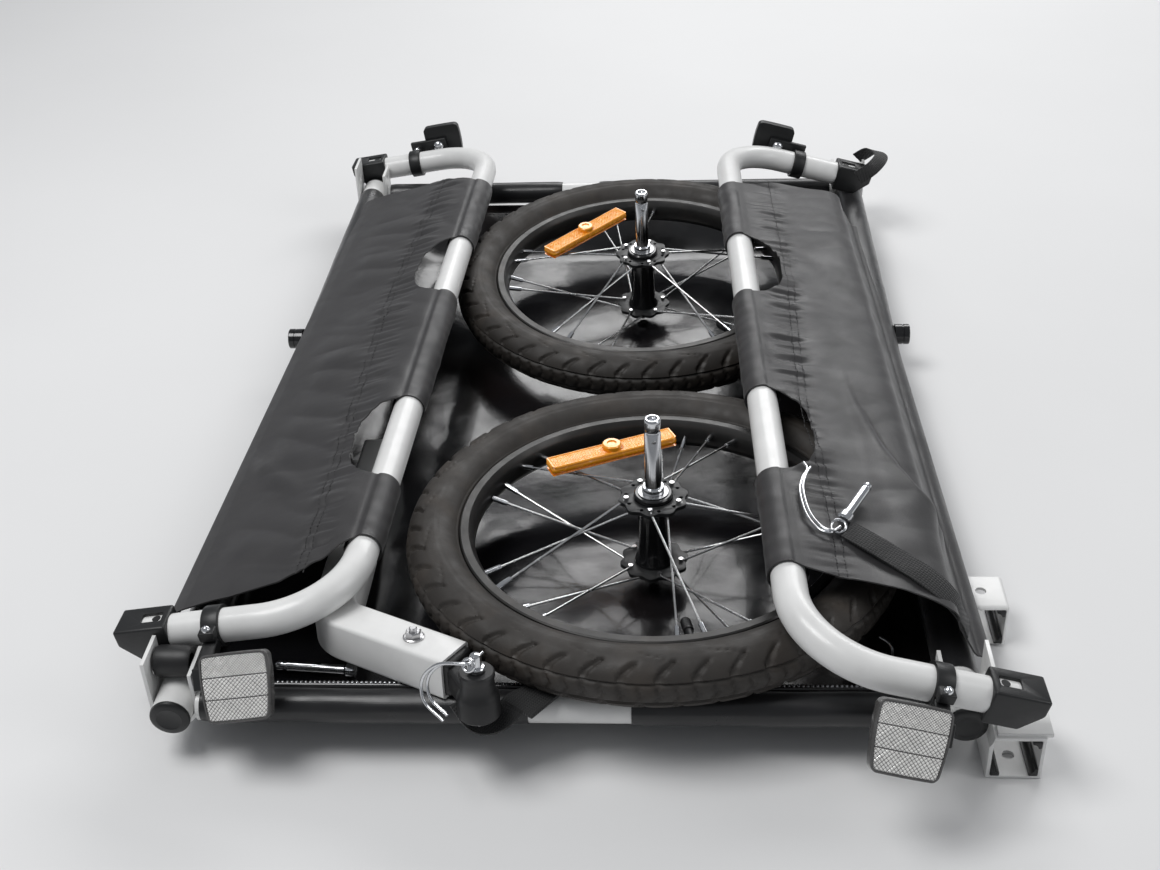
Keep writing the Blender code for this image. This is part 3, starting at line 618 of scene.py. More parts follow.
def tow_receivers():
    z = RECEIVER / 2
    bore = RECEIVER - 2 * RECEIVER_WALL
    for end, (y0, y1) in RECEIVER_SPAN.items():
        middle = (y0 + y1) / 2
        shell = block((RECEIVER, y1 - y0, RECEIVER), (RECEIVER_X, middle, z))
        if end == "front":
            shell = boolean(
                shell, block((0.0380, 0.036, 0.0036), (0.3195, middle, RECEIVER + 0.0004)), "UNION",
            )
        shell = bevel(shell, 0.0034, 5, 50)
        shell = boolean(shell, bevel(block((bore, 0.08, bore), (RECEIVER_X, middle, z)), 0.0010, 2))
        shell = boolean(shell, rod(0.0042, (RECEIVER_X, middle, -0.01), (RECEIVER_X, middle, 0.06), 32))
        clear = BRACKET_OUT + GAP if end == "front" else SIDE_R + 0.0006
        shell = boolean(shell, rod(clear, (HALF_W, y0 - 0.05, TUBE_Z), (HALF_W, y1 + 0.05, TUBE_Z), 64))
        piece(shell, f"{end}_tow_socket_paint", PAINT, "base", f"{end}_tow_receiver")
        for k, (i, j) in enumerate(((1, -1), (1, 1), (-1, -1))):
            x = RECEIVER_X + i * (bore / 2 - 0.0035)
            zz = z + j * (bore / 2 - 0.0035)
            guard = block((0.0064, y1 - y0 + 0.0020, 0.0064), (x, middle, zz))
            core = (RECEIVER_X + i * (bore / 2 - 0.0068), middle, z + j * (bore / 2 - 0.0068))
            guard = boolean(
                bevel(guard, 0.0008, 2),
                rod(0.0042, (core[0], y0 - 0.02, core[2]), (core[0], y1 + 0.02, core[2]), 24)
            )
            piece(guard, f"{end}_tow_socket_corner_{k + 1}", PLASTIC, "base")


# --------------------------------------------------------------------- floor


def floor_height(x, y):
    across = ramp(0.262 - abs(x), 0.0, 0.070)
    along = 0.0190 + 0.0190 * ramp(y, -0.235, -0.060)
    rear = ramp(0.425 - y, 0.0, 0.090)
    front = ramp(y + 0.415, 0.0, 0.050)
    return TUBE_Z - 0.0120 - (along - 0.0120) * across * rear * front


FLOOR_X = HALF_W - 0.0085
FLOOR_Y = (CROSS_Y["front"] + 0.0085, CROSS_Y["rear"] - 0.0085)


def floor_panel():
    """The taut floor, its edges rising to the tubes, with drag lines from the corners."""
    def place(s, t):
        x = (2 * s - 1) * FLOOR_X
        y = FLOOR_Y[0] + t * (FLOOR_Y[1] - FLOOR_Y[0])
        inside = ramp(min(FLOOR_X - abs(x), y - FLOOR_Y[0], FLOOR_Y[1] - y), 0.0, 0.050)
        fold = noise.noise(Vector((x * 9 + y * 6, y * 7 - x * 5, 3.1))) * 0.0022
        fold += noise.noise(Vector((x * 26, y * 8, 7.7))) * 0.0008
        return (x, y, max(0.0012, floor_height(x, y) + inside * (abs(fold) - 0.0004)))

    sheet = modified(grid(130, 200, place), "SOLIDIFY", thickness=0.0012, offset=-1.0)
    cloth = piece(sheet, "floor_cloth", FLOOR_CLOTH, "base", "floor_panel", sharp=60)
    y = CROSS_Y["front"] + CROSS_R + 0.0031
    route = [(x, y, TUBE_Z + 0.0058) for x in np.linspace(-0.2520, 0.2520, 3)]
    piece(pipe(route, 0.0032, 6), "front_keder_cord", FLOOR_CLOTH, "base")
    beads = []
    for x in np.arange(-0.2480, 0.2490, 0.0034):
        beads.append(
            turned(arc((0.0, 0.0), 0.0013, -90, 90, 4), 8, Matrix.Translation((x, y, TUBE_Z + 0.0088)))
        )
    piece(joined(*beads), "front_keder_beads", CHROME, "base")
    for end, yy in (("front", FLOOR_Y[0] + 0.0200), ("rear", FLOOR_Y[1] - 0.0200)):
        stitches(
            [(x, yy, floor_height(x, yy) + 0.0012) for x in np.linspace(-0.245, 0.245, 60)],
            f"{end}_floor_stitching", 0.0046, "base",
        )


def stitches(path, name, spacing, body, lift=0.0003, look=None):
    """Short raised threads along a path."""
    path = [Vector(p) for p in path]
    gone, threads, reach = 0.0, [], 0.0
    for a, b in zip(path, path[1:]):
        step = (b - a).length
        while reach < gone + step:
            here = a + (b - a) * ((reach - gone) / step)
            run = (b - a).normalized() * spacing * 0.34
            threads.append((here - run, here + run))
            reach += spacing
        gone += step
    shape = bmesh.new()
    for start, end in threads:
        turn = Matrix.Translation((start + end) / 2 + Vector((0, 0, lift))) @ pointing(end - start)
        bmesh.ops.create_cone(
            shape, cap_ends=True, segments=6, radius1=0.0004,
            radius2=0.0004, depth=(end - start).length, matrix=turn,
        )
    mesh = bpy.data.meshes.new("shape")
    shape.to_mesh(mesh)
    shape.free()
    obj = bpy.data.objects.new("shape", mesh)
    return piece(obj, name, look or STITCH, body, keep_free=body is None)


# --------------------------------------------------------------- side frames


def frame_matrix(side):
    """Takes a point (u outwards, y along, v up from the foot's tip) of a side frame to its folded place."""
    sign = SIDE[side]
    x = sign * (HALF_W + PIVOT_OUT[side]) + SHIFT_X[side]
    at = (x, FRAME_MID_Y + SHIFT[side], TUBE_Z + PIVOT_UP[side])
    skew = rotation(YAW_DEG[side], "Z")
    skew = skew @ rotation(PITCH_DEG[side], "X")
    fold = rotation(-sign * FOLD_DEG[side], "Y")
    tip = Matrix.Translation((-sign * PIVOT_OUT[side], 0, PIVOT_TO_TIP))
    return Matrix.Translation(at) @ skew @ fold @ tip @ Matrix.Diagonal((sign, 1, 1, 1))


def frame_route(steps=20):
    y, top = FRAME_HALF_L, FRAME_H
    first = arc((-y + BEND_R, top - BEND_R), BEND_R, 180, 90, steps)
    second = arc((y - BEND_R, top - BEND_R), BEND_R, 90, 0, steps)
    return [(0, *p) for p in [(-y, TUBE_START), *first, *second, (y, TUBE_START)]]


def foot(end, side, y, matrix):
    body = bevel(block((2 * FOOT_HALF, FOOT_DEPTH, FOOT_LENGTH), (0, y, FOOT_LENGTH / 2)), 0.0020, 4)
    body = boolean(body, rod(FRAME_R + GAP, (0, y, TUBE_START - GAP), (0, y, 0.07), 64))
    body = boolean(body, rod(FRAME_R - 0.003, (0, y, -0.01), (0, y, 0.07), 48))
    body = boolean(body, bevel(block((0.024, 0.0100, 0.016), (0.014, y, 0.0270)), 0.0012, 2))
    slope = rotation(43, "Y")
    body = boolean(body, block((0.06, 0.06, 0.02), (-0.0140, y, 0.0018), slope))
    body = placed(bevel(body, 0.0004, 2, 50), matrix)
    piece(body, f"{end}_{side}_foot_moulding", PLASTIC, f"{side}_frame", f"{end}_{side}_foot", sharp=30)
    # A thin dark rubber disc on the white leg tube, seen through the foot's slot: painted shade standing in for the
    # pin hole's dark inside.
    plug = placed(rod(0.0032, (FRAME_R - 0.0004, y, 0.0300), (FRAME_R + 0.0002, y, 0.0300), 24), matrix)
    piece(plug, f"{end}_{side}_leg_pin_hole", RUBBER, f"{side}_frame")


def barrel(x, y, size):
    """Moves a point of a square so that two sides bow out and the side at +x is a little the longer."""
    half = size / 2
    y *= (1 + 0.075 * (1 - (x / half) ** 2)) * (1 + 0.05 * x / half)
    return x * (1 + 0.020 * (1 - (y / half) ** 2)), y


def barrel_outline(size, corner=0.0045):
    half = size / 2
    points = []
    for sx, sy, start in ((1, 1, 0), (-1, 1, 90), (-1, -1, 180), (1, -1, 270)):
        points += arc((sx * (half - corner), sy * (half - corner)), corner, start, start + 90, 8)
    shape = []
    for (x0, y0), (x1, y1) in zip(points, [*points[1:], points[0]]):
        shape += [barrel(x0 + (x1 - x0) * k / 4, y0 + (y1 - y0) * k / 4, size) for k in range(4)]
    return shape


def prism_face(size, matrix, pitch=0.0030, depth=0.0003):
    """Moulded prisms in three bands under a bowed outline, the top one finer, dark body between them."""
    count, half, corner = 190, size / 2, 0.0040

    def place(s, t):
        x, y = (2 * s - 1) * half, (2 * t - 1) * half
        dx, dy = max(0.0, abs(x) - half + corner), max(0.0, abs(y) - half + corner)
        far = math.hypot(dx, dy)
        if far > corner:
            x -= math.copysign(dx * (1 - corner / far), x)
            y -= math.copysign(dy * (1 - corner / far), y)
        fine = 0.66 if x > size * 0.17 else 1.0
        a, b = (x + y) / pitch / fine, (x - y) / pitch / fine
        high = 1 - max(abs(a % 1 - 0.5), abs(b % 1 - 0.5)) * 2
        body = ramp(high, 0.10, 0.26) * ramp(half - max(abs(x), abs(y)), 0.0002, 0.0008)
        body *= ramp(abs(abs(x) - size * 0.17), 0.0002, 0.0007)
        return (*barrel(x, y, size), (depth + 0.0003 + 0.0003 * high) * body - 0.0003)

    return placed(grid(count, count, place), matrix)


def clamp_and_reflector(end, side, matrix):
    spec = REFLECTORS[end]
    ahead, size, out = spec["ahead"], spec["size"], spec["out"]
    clamp_v, lens_v, reach = (spec[key][side == "right"] for key in ("clamp", "lens", "reach"))
    leg = Matrix.Translation((0, ahead * FRAME_HALF_L, 0))
    lean = rotation(-ahead * spec["lean"], "Z")
    face = leg @ Matrix.Translation((out, ahead * reach, 0)) @ lean
    towards = leg @ Matrix.Rotation(math.atan2(ahead * reach, out), 4, "Z")
    length = math.hypot(out, reach)
    name = f"{end}_{side}_reflector"
    body = f"{side}_frame"

    def around(radius, half):
        return placed(rod(radius, (0, 0, clamp_v - half), (0, 0, clamp_v + half), 64), leg)

    collar = bevel(around(FRAME_R + 0.0028, CLAMP_WIDTH / 2), 0.0008, 2, 50)
    arm = block((length - 0.0220, 0.0090, CLAMP_WIDTH - 0.002), (length / 2 - 0.0005, 0, clamp_v))
    collar = boolean(collar, placed(bevel(arm, 0.0012), towards), "UNION")
    low, high = clamp_v - CLAMP_WIDTH / 2 - 0.001, lens_v + 0.004
    plate = block((0.0160, 0.0050, high - low), (spec["plate"], -ahead * 0.0070, (low + high) / 2))
    collar = boolean(collar, placed(bevel(plate, 0.0010), face), "UNION")
    lug = block((0.0080, 0.0100, CLAMP_WIDTH - 0.001), (0.0060, ahead * (FRAME_R + 0.0035), clamp_v))
    collar = boolean(collar, placed(bevel(lug, 0.0012), leg), "UNION")
    collar = boolean(collar, around(FRAME_R + 0.0002, 0.03))
    piece(placed(collar, matrix), f"{name}_clamp_moulding", PLASTIC, body, f"{name}_clamp")
    screw = [
        (0.0, 0.0), (0.0034, 0.0), (0.0034, 0.0010), (0.0026, 0.0026), (0.0012, 0.0034), (0.0012, 0.0022),
        (0.0, 0.0020)
    ]
    at = leg @ Matrix.Translation((0.0100, ahead * (FRAME_R + 0.0042), clamp_v)) @ rotation(90, "Y")
    piece(placed(turned(screw, 32), matrix @ at), f"{name}_clamp_screw", CHROME, body)
    upright = Matrix.Translation((0, 0, lens_v)) @ rotation(90, "X")
    shell = bevel(outline(barrel_outline(size), 0.0040, upright), 0.0014, 4, 50)
    ridge = outline(
        barrel_outline(size - 0.0006), 0.0008, upright @ Matrix.Translation((0, 0, -ahead * 0.0040)),
    )
    ridge = boolean(ridge, outline(barrel_outline(size - 0.0026), 0.02, upright))
    ridge = bevel(ridge, 0.0005, 2, 50)
    front = rotation(-90 * ahead, "X") @ rotation(90 + 90 * ahead, "Z")
    shell = placed(shell, matrix @ face)
    if end == "front":
        piece(shell, f"{name}_lens", SMOKED, body, name)
        piece(placed(ridge, matrix @ face), f"{name}_lens_edge", SMOKED, body)
        at = matrix @ face @ Matrix.Translation((0, ahead * 0.0041, lens_v)) @ front
        piece(placed(prism_face(size - 0.0028, Matrix()), at), f"{name}_prisms", CLEAR, body, sharp=4)
    else:
        piece(shell, f"{name}_housing", PLASTIC, body, name)
        at = matrix @ face @ Matrix.Translation((0, ahead * 0.0041, lens_v)) @ front
        piece(placed(prism_face(size - 0.0040, Matrix()), at), f"{name}_prisms", RED, body, sharp=4)
        dome = [
            (0.0, 0.0), (0.0062, 0.0), (0.0062, 0.0008), (0.0052, 0.0024), (0.0032, 0.0038), (0.0, 0.0044),
        ]
        back = Matrix.Translation((spec["plate"], -0.0098, lens_v - 0.006)) @ rotation(90, "X")
        piece(placed(turned(dome, 40), matrix @ face @ back), f"{name}_dome_screw", CHROME, body)


# The side panels' outlines in the frames' own terms: front and rear edges as (v, y), seams as (y, v).
PANELS = {
    "left": {
        "knee": ((0.2810, 0.0225),),
        "front": ((0.02, -0.404), (0.115, -0.398), (0.15, -0.376), (0.17, -0.357)),
        "rear": ((0.02, 0.346), (0.12, 0.340), (0.17, 0.314)),
        "seam": (
            (-0.40, 0.1270), (-0.32, 0.1275), (-0.24, 0.1234), (-0.11, 0.1187), (0.0, 0.1145), (0.08, 0.1132),
            (0.29, 0.1242)
        ),
        "windows": (-0.215, 0.105),
    },
    "right": {
        "knee": ((0.2815, 0.0190), (0.2700, 0.0400), (0.2560, 0.0600)),
        "front": ((0.02, -0.372), (0.06, -0.370), (0.10, -0.357), (0.135, -0.354), (0.17, -0.346)),
        "rear": ((0.02, 0.330), (0.12, 0.322), (0.17, 0.304)),
        "seam": (
            (-0.36, 0.1317), (-0.28, 0.1307), (-0.22, 0.1329),
            (-0.14, 0.1374), (-0.02, 0.1330), (0.09, 0.1273),
            (0.30, 0.1270)
        ),
        "windows": (-0.170, 0.120),
    },
}
WINDOW_HALF = 0.060
WINDOW_LOW = 0.137
CLOTH = 0.0012
SEAM_GAP = 0.0062
PANEL_SEAT = FRAME_R + GAP + 0.0006
SLEEVE_TURN = 286
PANEL_ROWS = 420


def window_edge(side, y):
    """How low a hand window reaches at a place along the panel, or None where there is no window."""
    for middle in PANELS[side]["windows"]:
        far = abs(y - middle) / WINDOW_HALF
        if far < 1:
            return WINDOW_LOW + 0.035 * (1 - (1 - far ** 3.2) ** (1 / 1.6))
    return None


def panel_lift(side, y, v):
    """How far a panel's flat part stands off its plane: gathers at the seam, drag lines, one big fold."""
    sign = SIDE[side]
    seam = along_list(PANELS[side]["seam"], y)
    free = ramp(v, 0.045, 0.075) * ramp(FRAME_H - v, 0.0, 0.020)
    inner = ramp(v - seam, -0.012, 0.006) * (1 - ramp(v - seam, 0.016, 0.036))
    outer = math.exp(-abs(v - seam) / 0.010)
    gather = noise.noise(
        Vector((y * 92, v * 9, 1.0 + sign))
    ) + 0.5 * noise.noise(Vector((y * 170, v * 14, 6.0)))
    lift = (0.0026 * inner + 0.0010 * outer) * gather
    lift += 0.0032 * free * abs(noise.noise(Vector((y * 24 + v * 9, v * 11, 4.0 + sign))))
    lift += 0.0026 * free * noise.noise(Vector((y * 8, v * 15, 9.0)))
    lift -= 0.0007 * (
        math.exp(-((v - seam) / 0.0011) ** 2) + math.exp(-((v - seam - SEAM_GAP) / 0.0011) ** 2)
    )
    if side == "right":
        crease = along_list(
            (
                (0.02, -0.262), (0.045, -0.250), (0.065, -0.225),
                (0.082, -0.185), (0.095, -0.130), (0.102, -0.060),
            ), v
        )
        apart = (crease - y) * math.cos(math.atan(6 * ramp(v, 0.05, 0.10)))
        fade = ramp(v, 0.028, 0.045) * (1 - ramp(v, 0.088, 0.104))
        lift += 0.0060 * fade * math.exp(-max(apart, 0.0) / 0.030) * ramp(apart, -0.006, 0.004)
    else:
        apart = y + 0.23 + (v - 0.06) * 1.1
        fade = ramp(v, 0.035, 0.055) * (1 - ramp(v, 0.085, 0.115))
        lift += 0.0024 * fade * math.exp(-((apart / 0.014) ** 2))
    return lift


def cut_area(side, line, flat_count):
    """The flat area of a panel's cut, from its outline and windows alone, in square metres."""
    plan, step, total = PANELS[side], 0.002, 0.0
    for i, (a, b) in enumerate(zip(line, line[1:])):
        in_sleeve = i + 1 >= flat_count
        v = FRAME_H if in_sleeve else min((a.y + b.y) / 2, FRAME_H)
        y0, y1 = along_list(plan["front"], v), along_list(plan["rear"], v)
        edges = [window_edge(side, y) for y in np.arange(y0, y1, step)]
        windows = step * sum(
            edge is not None and edge < FRAME_H and (in_sleeve or v > edge) for edge in edges
        )
        total += (b - a).length * (y1 - y0 - windows)
    return total


def panel_section(side, matrix):
    """A panel's run across the frame: its flat part up from the side tube, and its sleeve."""
    plan = PANELS[side]
    sign = SIDE[side]
    middle = FRAME_MID_Y + SHIFT[side]
    to_frame = matrix.inverted()
    section = []
    for degrees in (30, 45, 60, 75):
        a = math.radians(degrees)
        around = (SIDE_R + 0.0028) * Vector((math.cos(a), 0, math.sin(a)))
        p = to_frame @ Vector((sign * (HALF_W + around.x), middle, TUBE_Z + around.z))
        section.append(Vector((p.x, p.z)))
    for x, z in plan["knee"]:
        p = to_frame @ Vector((sign * x, middle, TUBE_Z + z))
        section.append(Vector((p.x, p.z)))
    section = [Vector((p.x, p.y, 0)) for p in section]
    section += [Vector((PANEL_SEAT - 0.0004, FRAME_H - 0.022, 0)), Vector((PANEL_SEAT, FRAME_H, 0))]
    flat = smooth_path(section, 0.0022)
    sleeve = [Vector((x, v, 0)) for x, v in arc((0, FRAME_H), PANEL_SEAT, 0, SLEEVE_TURN, 44)][1:]
    return flat, sleeve


def panel_mesh(side, matrix, flat, sleeve):
    """The panel's middle surface, with its hand windows left open."""
    plan = PANELS[side]
    line = [*flat, *sleeve]
    shape = bmesh.new()
    verts = []
    for j in range(PANEL_ROWS + 1):
        t = j / PANEL_ROWS
        row, last = [], None
        for i, p in enumerate(line):
            v = min(p.y, FRAME_H) if i < len(flat) else FRAME_H
            y0, y1 = along_list(plan["front"], v), along_list(plan["rear"], v)
            y = y0 + t * (y1 - y0)
            a, b = line[max(i - 1, 0)], line[min(i + 1, len(line) - 1)]
            run = (b - a).normalized()
            normal = Vector((run.y, -run.x))
            if normal.x < 0 and i < len(flat):
                normal = -normal
            if i >= len(flat):
                normal = Vector((p.x, p.y - FRAME_H)).normalized()
            if i < len(flat):
                lift = panel_lift(side, y, p.y)
            else:
                turn = (i - len(flat)) / len(sleeve)
                lift = 0.0008 + 0.0009 * noise.noise(Vector((y * 22, turn * 5, 2.0)))
                lift += 0.0007 * noise.noise(Vector((y * 75, turn * 3, 5.0)))
            edge = window_edge(side, y)
            if edge is not None and i >= len(flat) and edge < FRAME_H:
                row.append(None)
                continue
            if edge is not None and i < len(flat) and p.y > edge:
                if last is None:
                    last_p = line[i - 1].lerp(p, (edge - line[i - 1].y) / max(p.y - line[i - 1].y, 1e-9))
                    last = shape.verts.new(
                        matrix @ Vector((last_p.x + normal.x * lift, y, last_p.y + normal.y * lift))
                    )
                row.append(last)
                continue
            row.append(shape.verts.new(matrix @ Vector((p.x + normal.x * lift, y, p.y + normal.y * lift))))
        verts.append(row)
    for j in range(PANEL_ROWS):
        for i in range(len(line) - 1):
            corners = (verts[j][i], verts[j][i + 1], verts[j + 1][i + 1], verts[j + 1][i])
            if None in corners:
                continue
            around = list(dict.fromkeys(corners))
            if len(around) >= 3:
                shape.faces.new(around)
    bmesh.ops.delete(shape, geom=[v for v in shape.verts if not v.link_faces], context="VERTS")
    bmesh.ops.recalc_face_normals(shape, faces=shape.faces)
    up = sum(f.normal.z for f in shape.faces)
    if up < 0:
        bmesh.ops.reverse_faces(shape, faces=shape.faces)
    mesh = bpy.data.meshes.new("shape")
    shape.to_mesh(mesh)
    shape.free()
    return bpy.data.objects.new("shape", mesh)


def panel_seams(side, matrix, flat):
    """Two rows of stitches along the panel's seam."""
    plan = PANELS[side]
    for k, aside in enumerate((0.0, SEAM_GAP)):
        path = []
        for y in np.linspace(
            along_list(plan["front"], 0.12) + 0.004, along_list(plan["rear"], 0.12) - 0.004, 260,
        ):
            v = along_list(plan["seam"], y) + aside
            lift = panel_lift(side, y, v) + 0.0008
            near = min(range(1, len(flat)), key=lambda i: abs(flat[i].y - v))
            run = (flat[near] - flat[near - 1]).normalized()
            normal = Vector((run.y, -run.x)) if run.y > 0 else Vector((-run.y, run.x))
            path.append(matrix @ Vector((flat[near].x + normal.x * lift, y, v + normal.y * lift)))
        stitches(path, f"{side}_panel_seam_{k + 1}", 0.0046, f"{side}_frame", lift=0.0)


def side_panel(side, matrix):
    """Coated fabric from the side tube to a sleeve round the long tube, with its seams and wrinkles."""
    flat, sleeve = panel_section(side, matrix)
    sheet = panel_mesh(side, matrix, flat, sleeve)
    sheet = modified(sheet, "SOLIDIFY", thickness=CLOTH, offset=0.0)
    cloth = piece(
        sheet, f"{side}_panel_cloth", PANEL, None, f"{side}_side_panel", f"{side}_panel_hem", sharp=60,
        keep_free=True
    )
    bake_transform(cloth)
    line = [*flat, *sleeve]
    cut_area(side, line, len(flat))
    panel_seams(side, matrix, flat)


def side_frames():
    for side in SIDE:
        matrix = frame_matrix(side)
        tube = placed(pipe(frame_route(), FRAME_R, 14), matrix)
        piece(tube, f"{side}_frame_paint", PAINT, f"{side}_frame", f"{side}_frame_tube")
        for end, sign in (("front", -1), ("rear", 1)):
            foot(end, side, sign * FRAME_HALF_L, matrix)
            clamp_and_reflector(end, side, matrix)
        side_panel(side, matrix)


def ribbon(points, width, thick, flat=None):
    """A flat strap along points, its width level and square to its run, or along flat."""
    path = smooth_path(points, 0.003)
    sections = []
    for i, point in enumerate(path):
        run = (path[min(i + 1, len(path) - 1)] - path[max(i - 1, 0)]).normalized()
        across = Vector(flat) if flat else Vector((-run.y, run.x, 0))
        across = (across - run * across.dot(run)).normalized() * width / 2
        up = across.cross(run).normalized() * thick / 2
        sections.append([point - across - up, point + across - up, point + across + up, point - across + up])

    def fill(shape):
        rings = [[shape.verts.new(corner) for corner in corners] for corners in sections]
        for ring, following in zip(rings, rings[1:]):
            for k in range(4):
                shape.faces.new((ring[k], ring[k - 1], following[k - 1], following[k]))
        shape.faces.new(rings[0])
        shape.faces.new(rings[-1][::-1])
        bmesh.ops.recalc_face_normals(shape, faces=shape.faces)

    return bevel(from_bmesh(fill), min(thick, width) * 0.3, 2, 60)


def arc3(centre, radius, tilt=0.5, reach=360):
    """The points of a ring round a centre, tilted out of level."""
    points = []
    for degrees in np.linspace(0, reach, 28):
        a = math.radians(degrees)
        points.append(
            Vector(centre) + radius * Vector(
                (math.cos(a), math.sin(a) * math.cos(tilt), math.sin(a) * math.sin(tilt))
            )
        )
    return points


def strap_and_pin():
    """The spare lock pin on the right panel, its wire keeper, and the webbing that ties it."""
    z = TUBE_Z + 0.0830
    start, end = Vector((0.2250, -0.2790, z)), Vector((0.2030, -0.3220, z))
    along = (end - start).normalized()
    reach = (end - start).length
    profile = [
        (0, -0.001), (0.0042, -0.001), (0.0056, 0.0), (0.0056, 0.0060), (0.0044, 0.0066), (0.0038, 0.0072),
    ]
    profile += [
        (0.0038, reach - 0.006), (0.0030, reach - 0.0055), (0.0030, reach - 0.0035), (0.0038, reach - 0.003),
    ]
    profile += [(0.0036, reach - 0.0006), (0.0028, reach), (0, reach)]
    turn = Matrix.Translation(end) @ pointing(-along)
    piece(turned(profile, 48, turn), "strap_pin_chrome", CHROME, "right_frame", "strap_pin")
    loop = [
        (0.1790, -0.2530, 0.1264), (0.1810, -0.2620, 0.1266),
        (0.1765, -0.2730, 0.1264), (0.1735, -0.2900, 0.1260),
    ]
    loop += [
        (0.1760, -0.3160, 0.1252), (0.1830, -0.3330, 0.1242),
        (0.1915, -0.3380, 0.1236), (0.1975, -0.3320, 0.1226),
    ]
    doubled = [Vector(p) + Vector((0.0024, 0.0010, 0.0012)) for p in loop[1:]]
    wires = joined(
        pipe(smooth_path(loop, 0.002), 0.0011, 4), pipe(smooth_path(doubled, 0.002), 0.0011, 4),
        pipe(arc3((0.1990, -0.3290, 0.1226), 0.0052), 0.0011, 4),
    )
    piece(wires, "strap_keeper_wire", CHROME, "right_frame", "strap_keeper")
    run = [(0.2060, -0.3300, 0.1202), (0.2320, -0.3500, 0.1152), (0.2580, -0.3720, 0.1097)]
    run += [(0.2760, -0.3830, 0.0967), (0.2880, -0.3860, 0.0737)]
    piece(ribbon(run, 0.0200, 0.0016), "pin_strap_webbing", WEBBING, "right_frame", "pin_strap")


def corner_webbing():
    """A webbing loop standing round the rear right foot, and its tail on the panel."""
    matrix = frame_matrix("right")
    y = FRAME_HALF_L
    loop = [
        (0.012, y - 0.030, 0.020), (0.026, y - 0.024, 0.006),
        (0.034, y - 0.004, -0.004), (0.030, y + 0.018, 0.002),
    ]
    loop += [(0.014, y + 0.026, 0.014)]
    piece(
        placed(ribbon(loop, 0.016, 0.0014, flat=(0, 0, 1)), matrix),
        "rear_right_foot_loop", WEBBING, "right_frame",
    )


# -------------------------------------------------------------------- wheels


def wheel_place(spec):
    return Matrix.Translation(spec["at"]) @ rotation(spec["tilt"], "X")


TREAD_COUNT = 46


def tyre_depth(around, phi):
    """How deep the tread is cut at a turn (0 to 1) and an angle phi round the section from the crown."""
    far = abs(phi)
    side = 1 if phi > 0 else -1
    pitch = around * TREAD_COUNT + (0.5 if side > 0 else 0.0)
    lean = 0.30 * math.sin(far * 3.1)
    cell = (pitch + lean) % 1.0
    slot = 1 - ramp(abs(cell - 0.5), 0.085, 0.135)
    shoulder = ramp(far, 0.42, 0.52) * (1 - ramp(far, 1.02 + 0.16 * (int(pitch + lean) % 2), 1.22))
    depth = 0.0021 * slot * shoulder
    centre_slot = 1 - ramp(abs((pitch * 2 + 0.8 * far) % 1.0 - 0.5), 0.10, 0.17)
    depth += 0.0016 * centre_slot * (1 - ramp(far, 0.28, 0.34))
    depth += 0.0019 * (1 - ramp(abs(far - 0.38), 0.030, 0.060))
    notch = 1 - ramp(abs((pitch * 0.5 + 0.22 * math.sin(far * 9)) % 1.0 - 0.5), 0.030, 0.060)
    depth += 0.0008 * notch * ramp(far, 1.10, 1.18) * (1 - ramp(far, 1.45, 1.60))
    depth += 0.0005 * (1 - ramp(abs(far - 1.72), 0.020, 0.045))
    depth -= 0.0004 * (1 - ramp(abs(far - 1.30), 0.015, 0.035))
    return depth


def tyre(end, place):
    """A block-tread tyre: shoulder lugs, two grooves, a ribbed crown and a moulded side wall."""
    columns, rows = TREAD_COUNT * 16, 76
    reach = math.radians(146)

    def point(s, t):
        phi = reach * (2 * t - 1)
        turn = 2 * math.pi * s
        lumps = 0.0002 * noise.noise(Vector((math.cos(turn) * 14, math.sin(turn) * 14, phi * 3)))
        r = TYRE_R - tyre_depth(s, phi) + lumps
        out = TYRE_MID_R + r * math.cos(phi)
        return (out * math.cos(turn), out * math.sin(turn), r * math.sin(phi))

    wall = grid(columns, rows, point, cyclic=True)
    seat = TYRE_MID_R + TYRE_R * math.cos(reach)
    high = TYRE_R * math.sin(reach)
    bead = RIM_OUT + GAP
    inner = turned(
        [
            (seat, high), (seat - 0.0012, high - 0.0008), (bead, 0.0085),
            (bead, -0.0085), (seat - 0.0012, -high + 0.0008), (seat, -high),
        ],
        180,
    )
    obj = placed(joined(wall, inner), place)
    piece(obj, f"{end}_tyre_rubber", TYRE, f"{end}_wheel", f"{end}_wheel_tyre", sharp=40)


def rim(end, place):
    profile = [
        (RIM_IN, 0.0060), (RIM_IN + 0.0012, 0.0082), (RIM_IN + 0.0030, RIM_HALF - 0.0012),
        (RIM_IN + 0.0040, RIM_HALF),
        (RIM_OUT - 0.0012, RIM_HALF), (RIM_OUT, RIM_HALF - 0.0010), (RIM_OUT, -RIM_HALF + 0.0010),
        (RIM_OUT - 0.0012, -RIM_HALF), (RIM_IN + 0.0040, -RIM_HALF), (RIM_IN + 0.0030, -RIM_HALF + 0.0012),
        (RIM_IN + 0.0012, -0.0082), (RIM_IN, -0.0060),
    ]
    piece(turned(profile, 192, place), f"{end}_rim_ring", RIM, f"{end}_wheel", f"{end}_wheel_rim")


def spoke_ends(index, top):
    step = 2 * math.pi / SPOKES_A_SIDE
    crossing = 1 if index % 2 else -1
    hub_angle = index * step + (0 if top else step / 2)
    z = math.copysign(FLANGE_Z, 1 if top else -1) + crossing * 0.0013
    start_r, end_r = FLANGE_R - 0.0045, RIM_IN - 0.0004
    end_angle = hub_angle + 0.62 * step * crossing
    start = Vector((start_r * math.cos(hub_angle), start_r * math.sin(hub_angle), z))
    return start, Vector((end_r * math.cos(end_angle), end_r * math.sin(end_angle), math.copysign(0.003, z)))


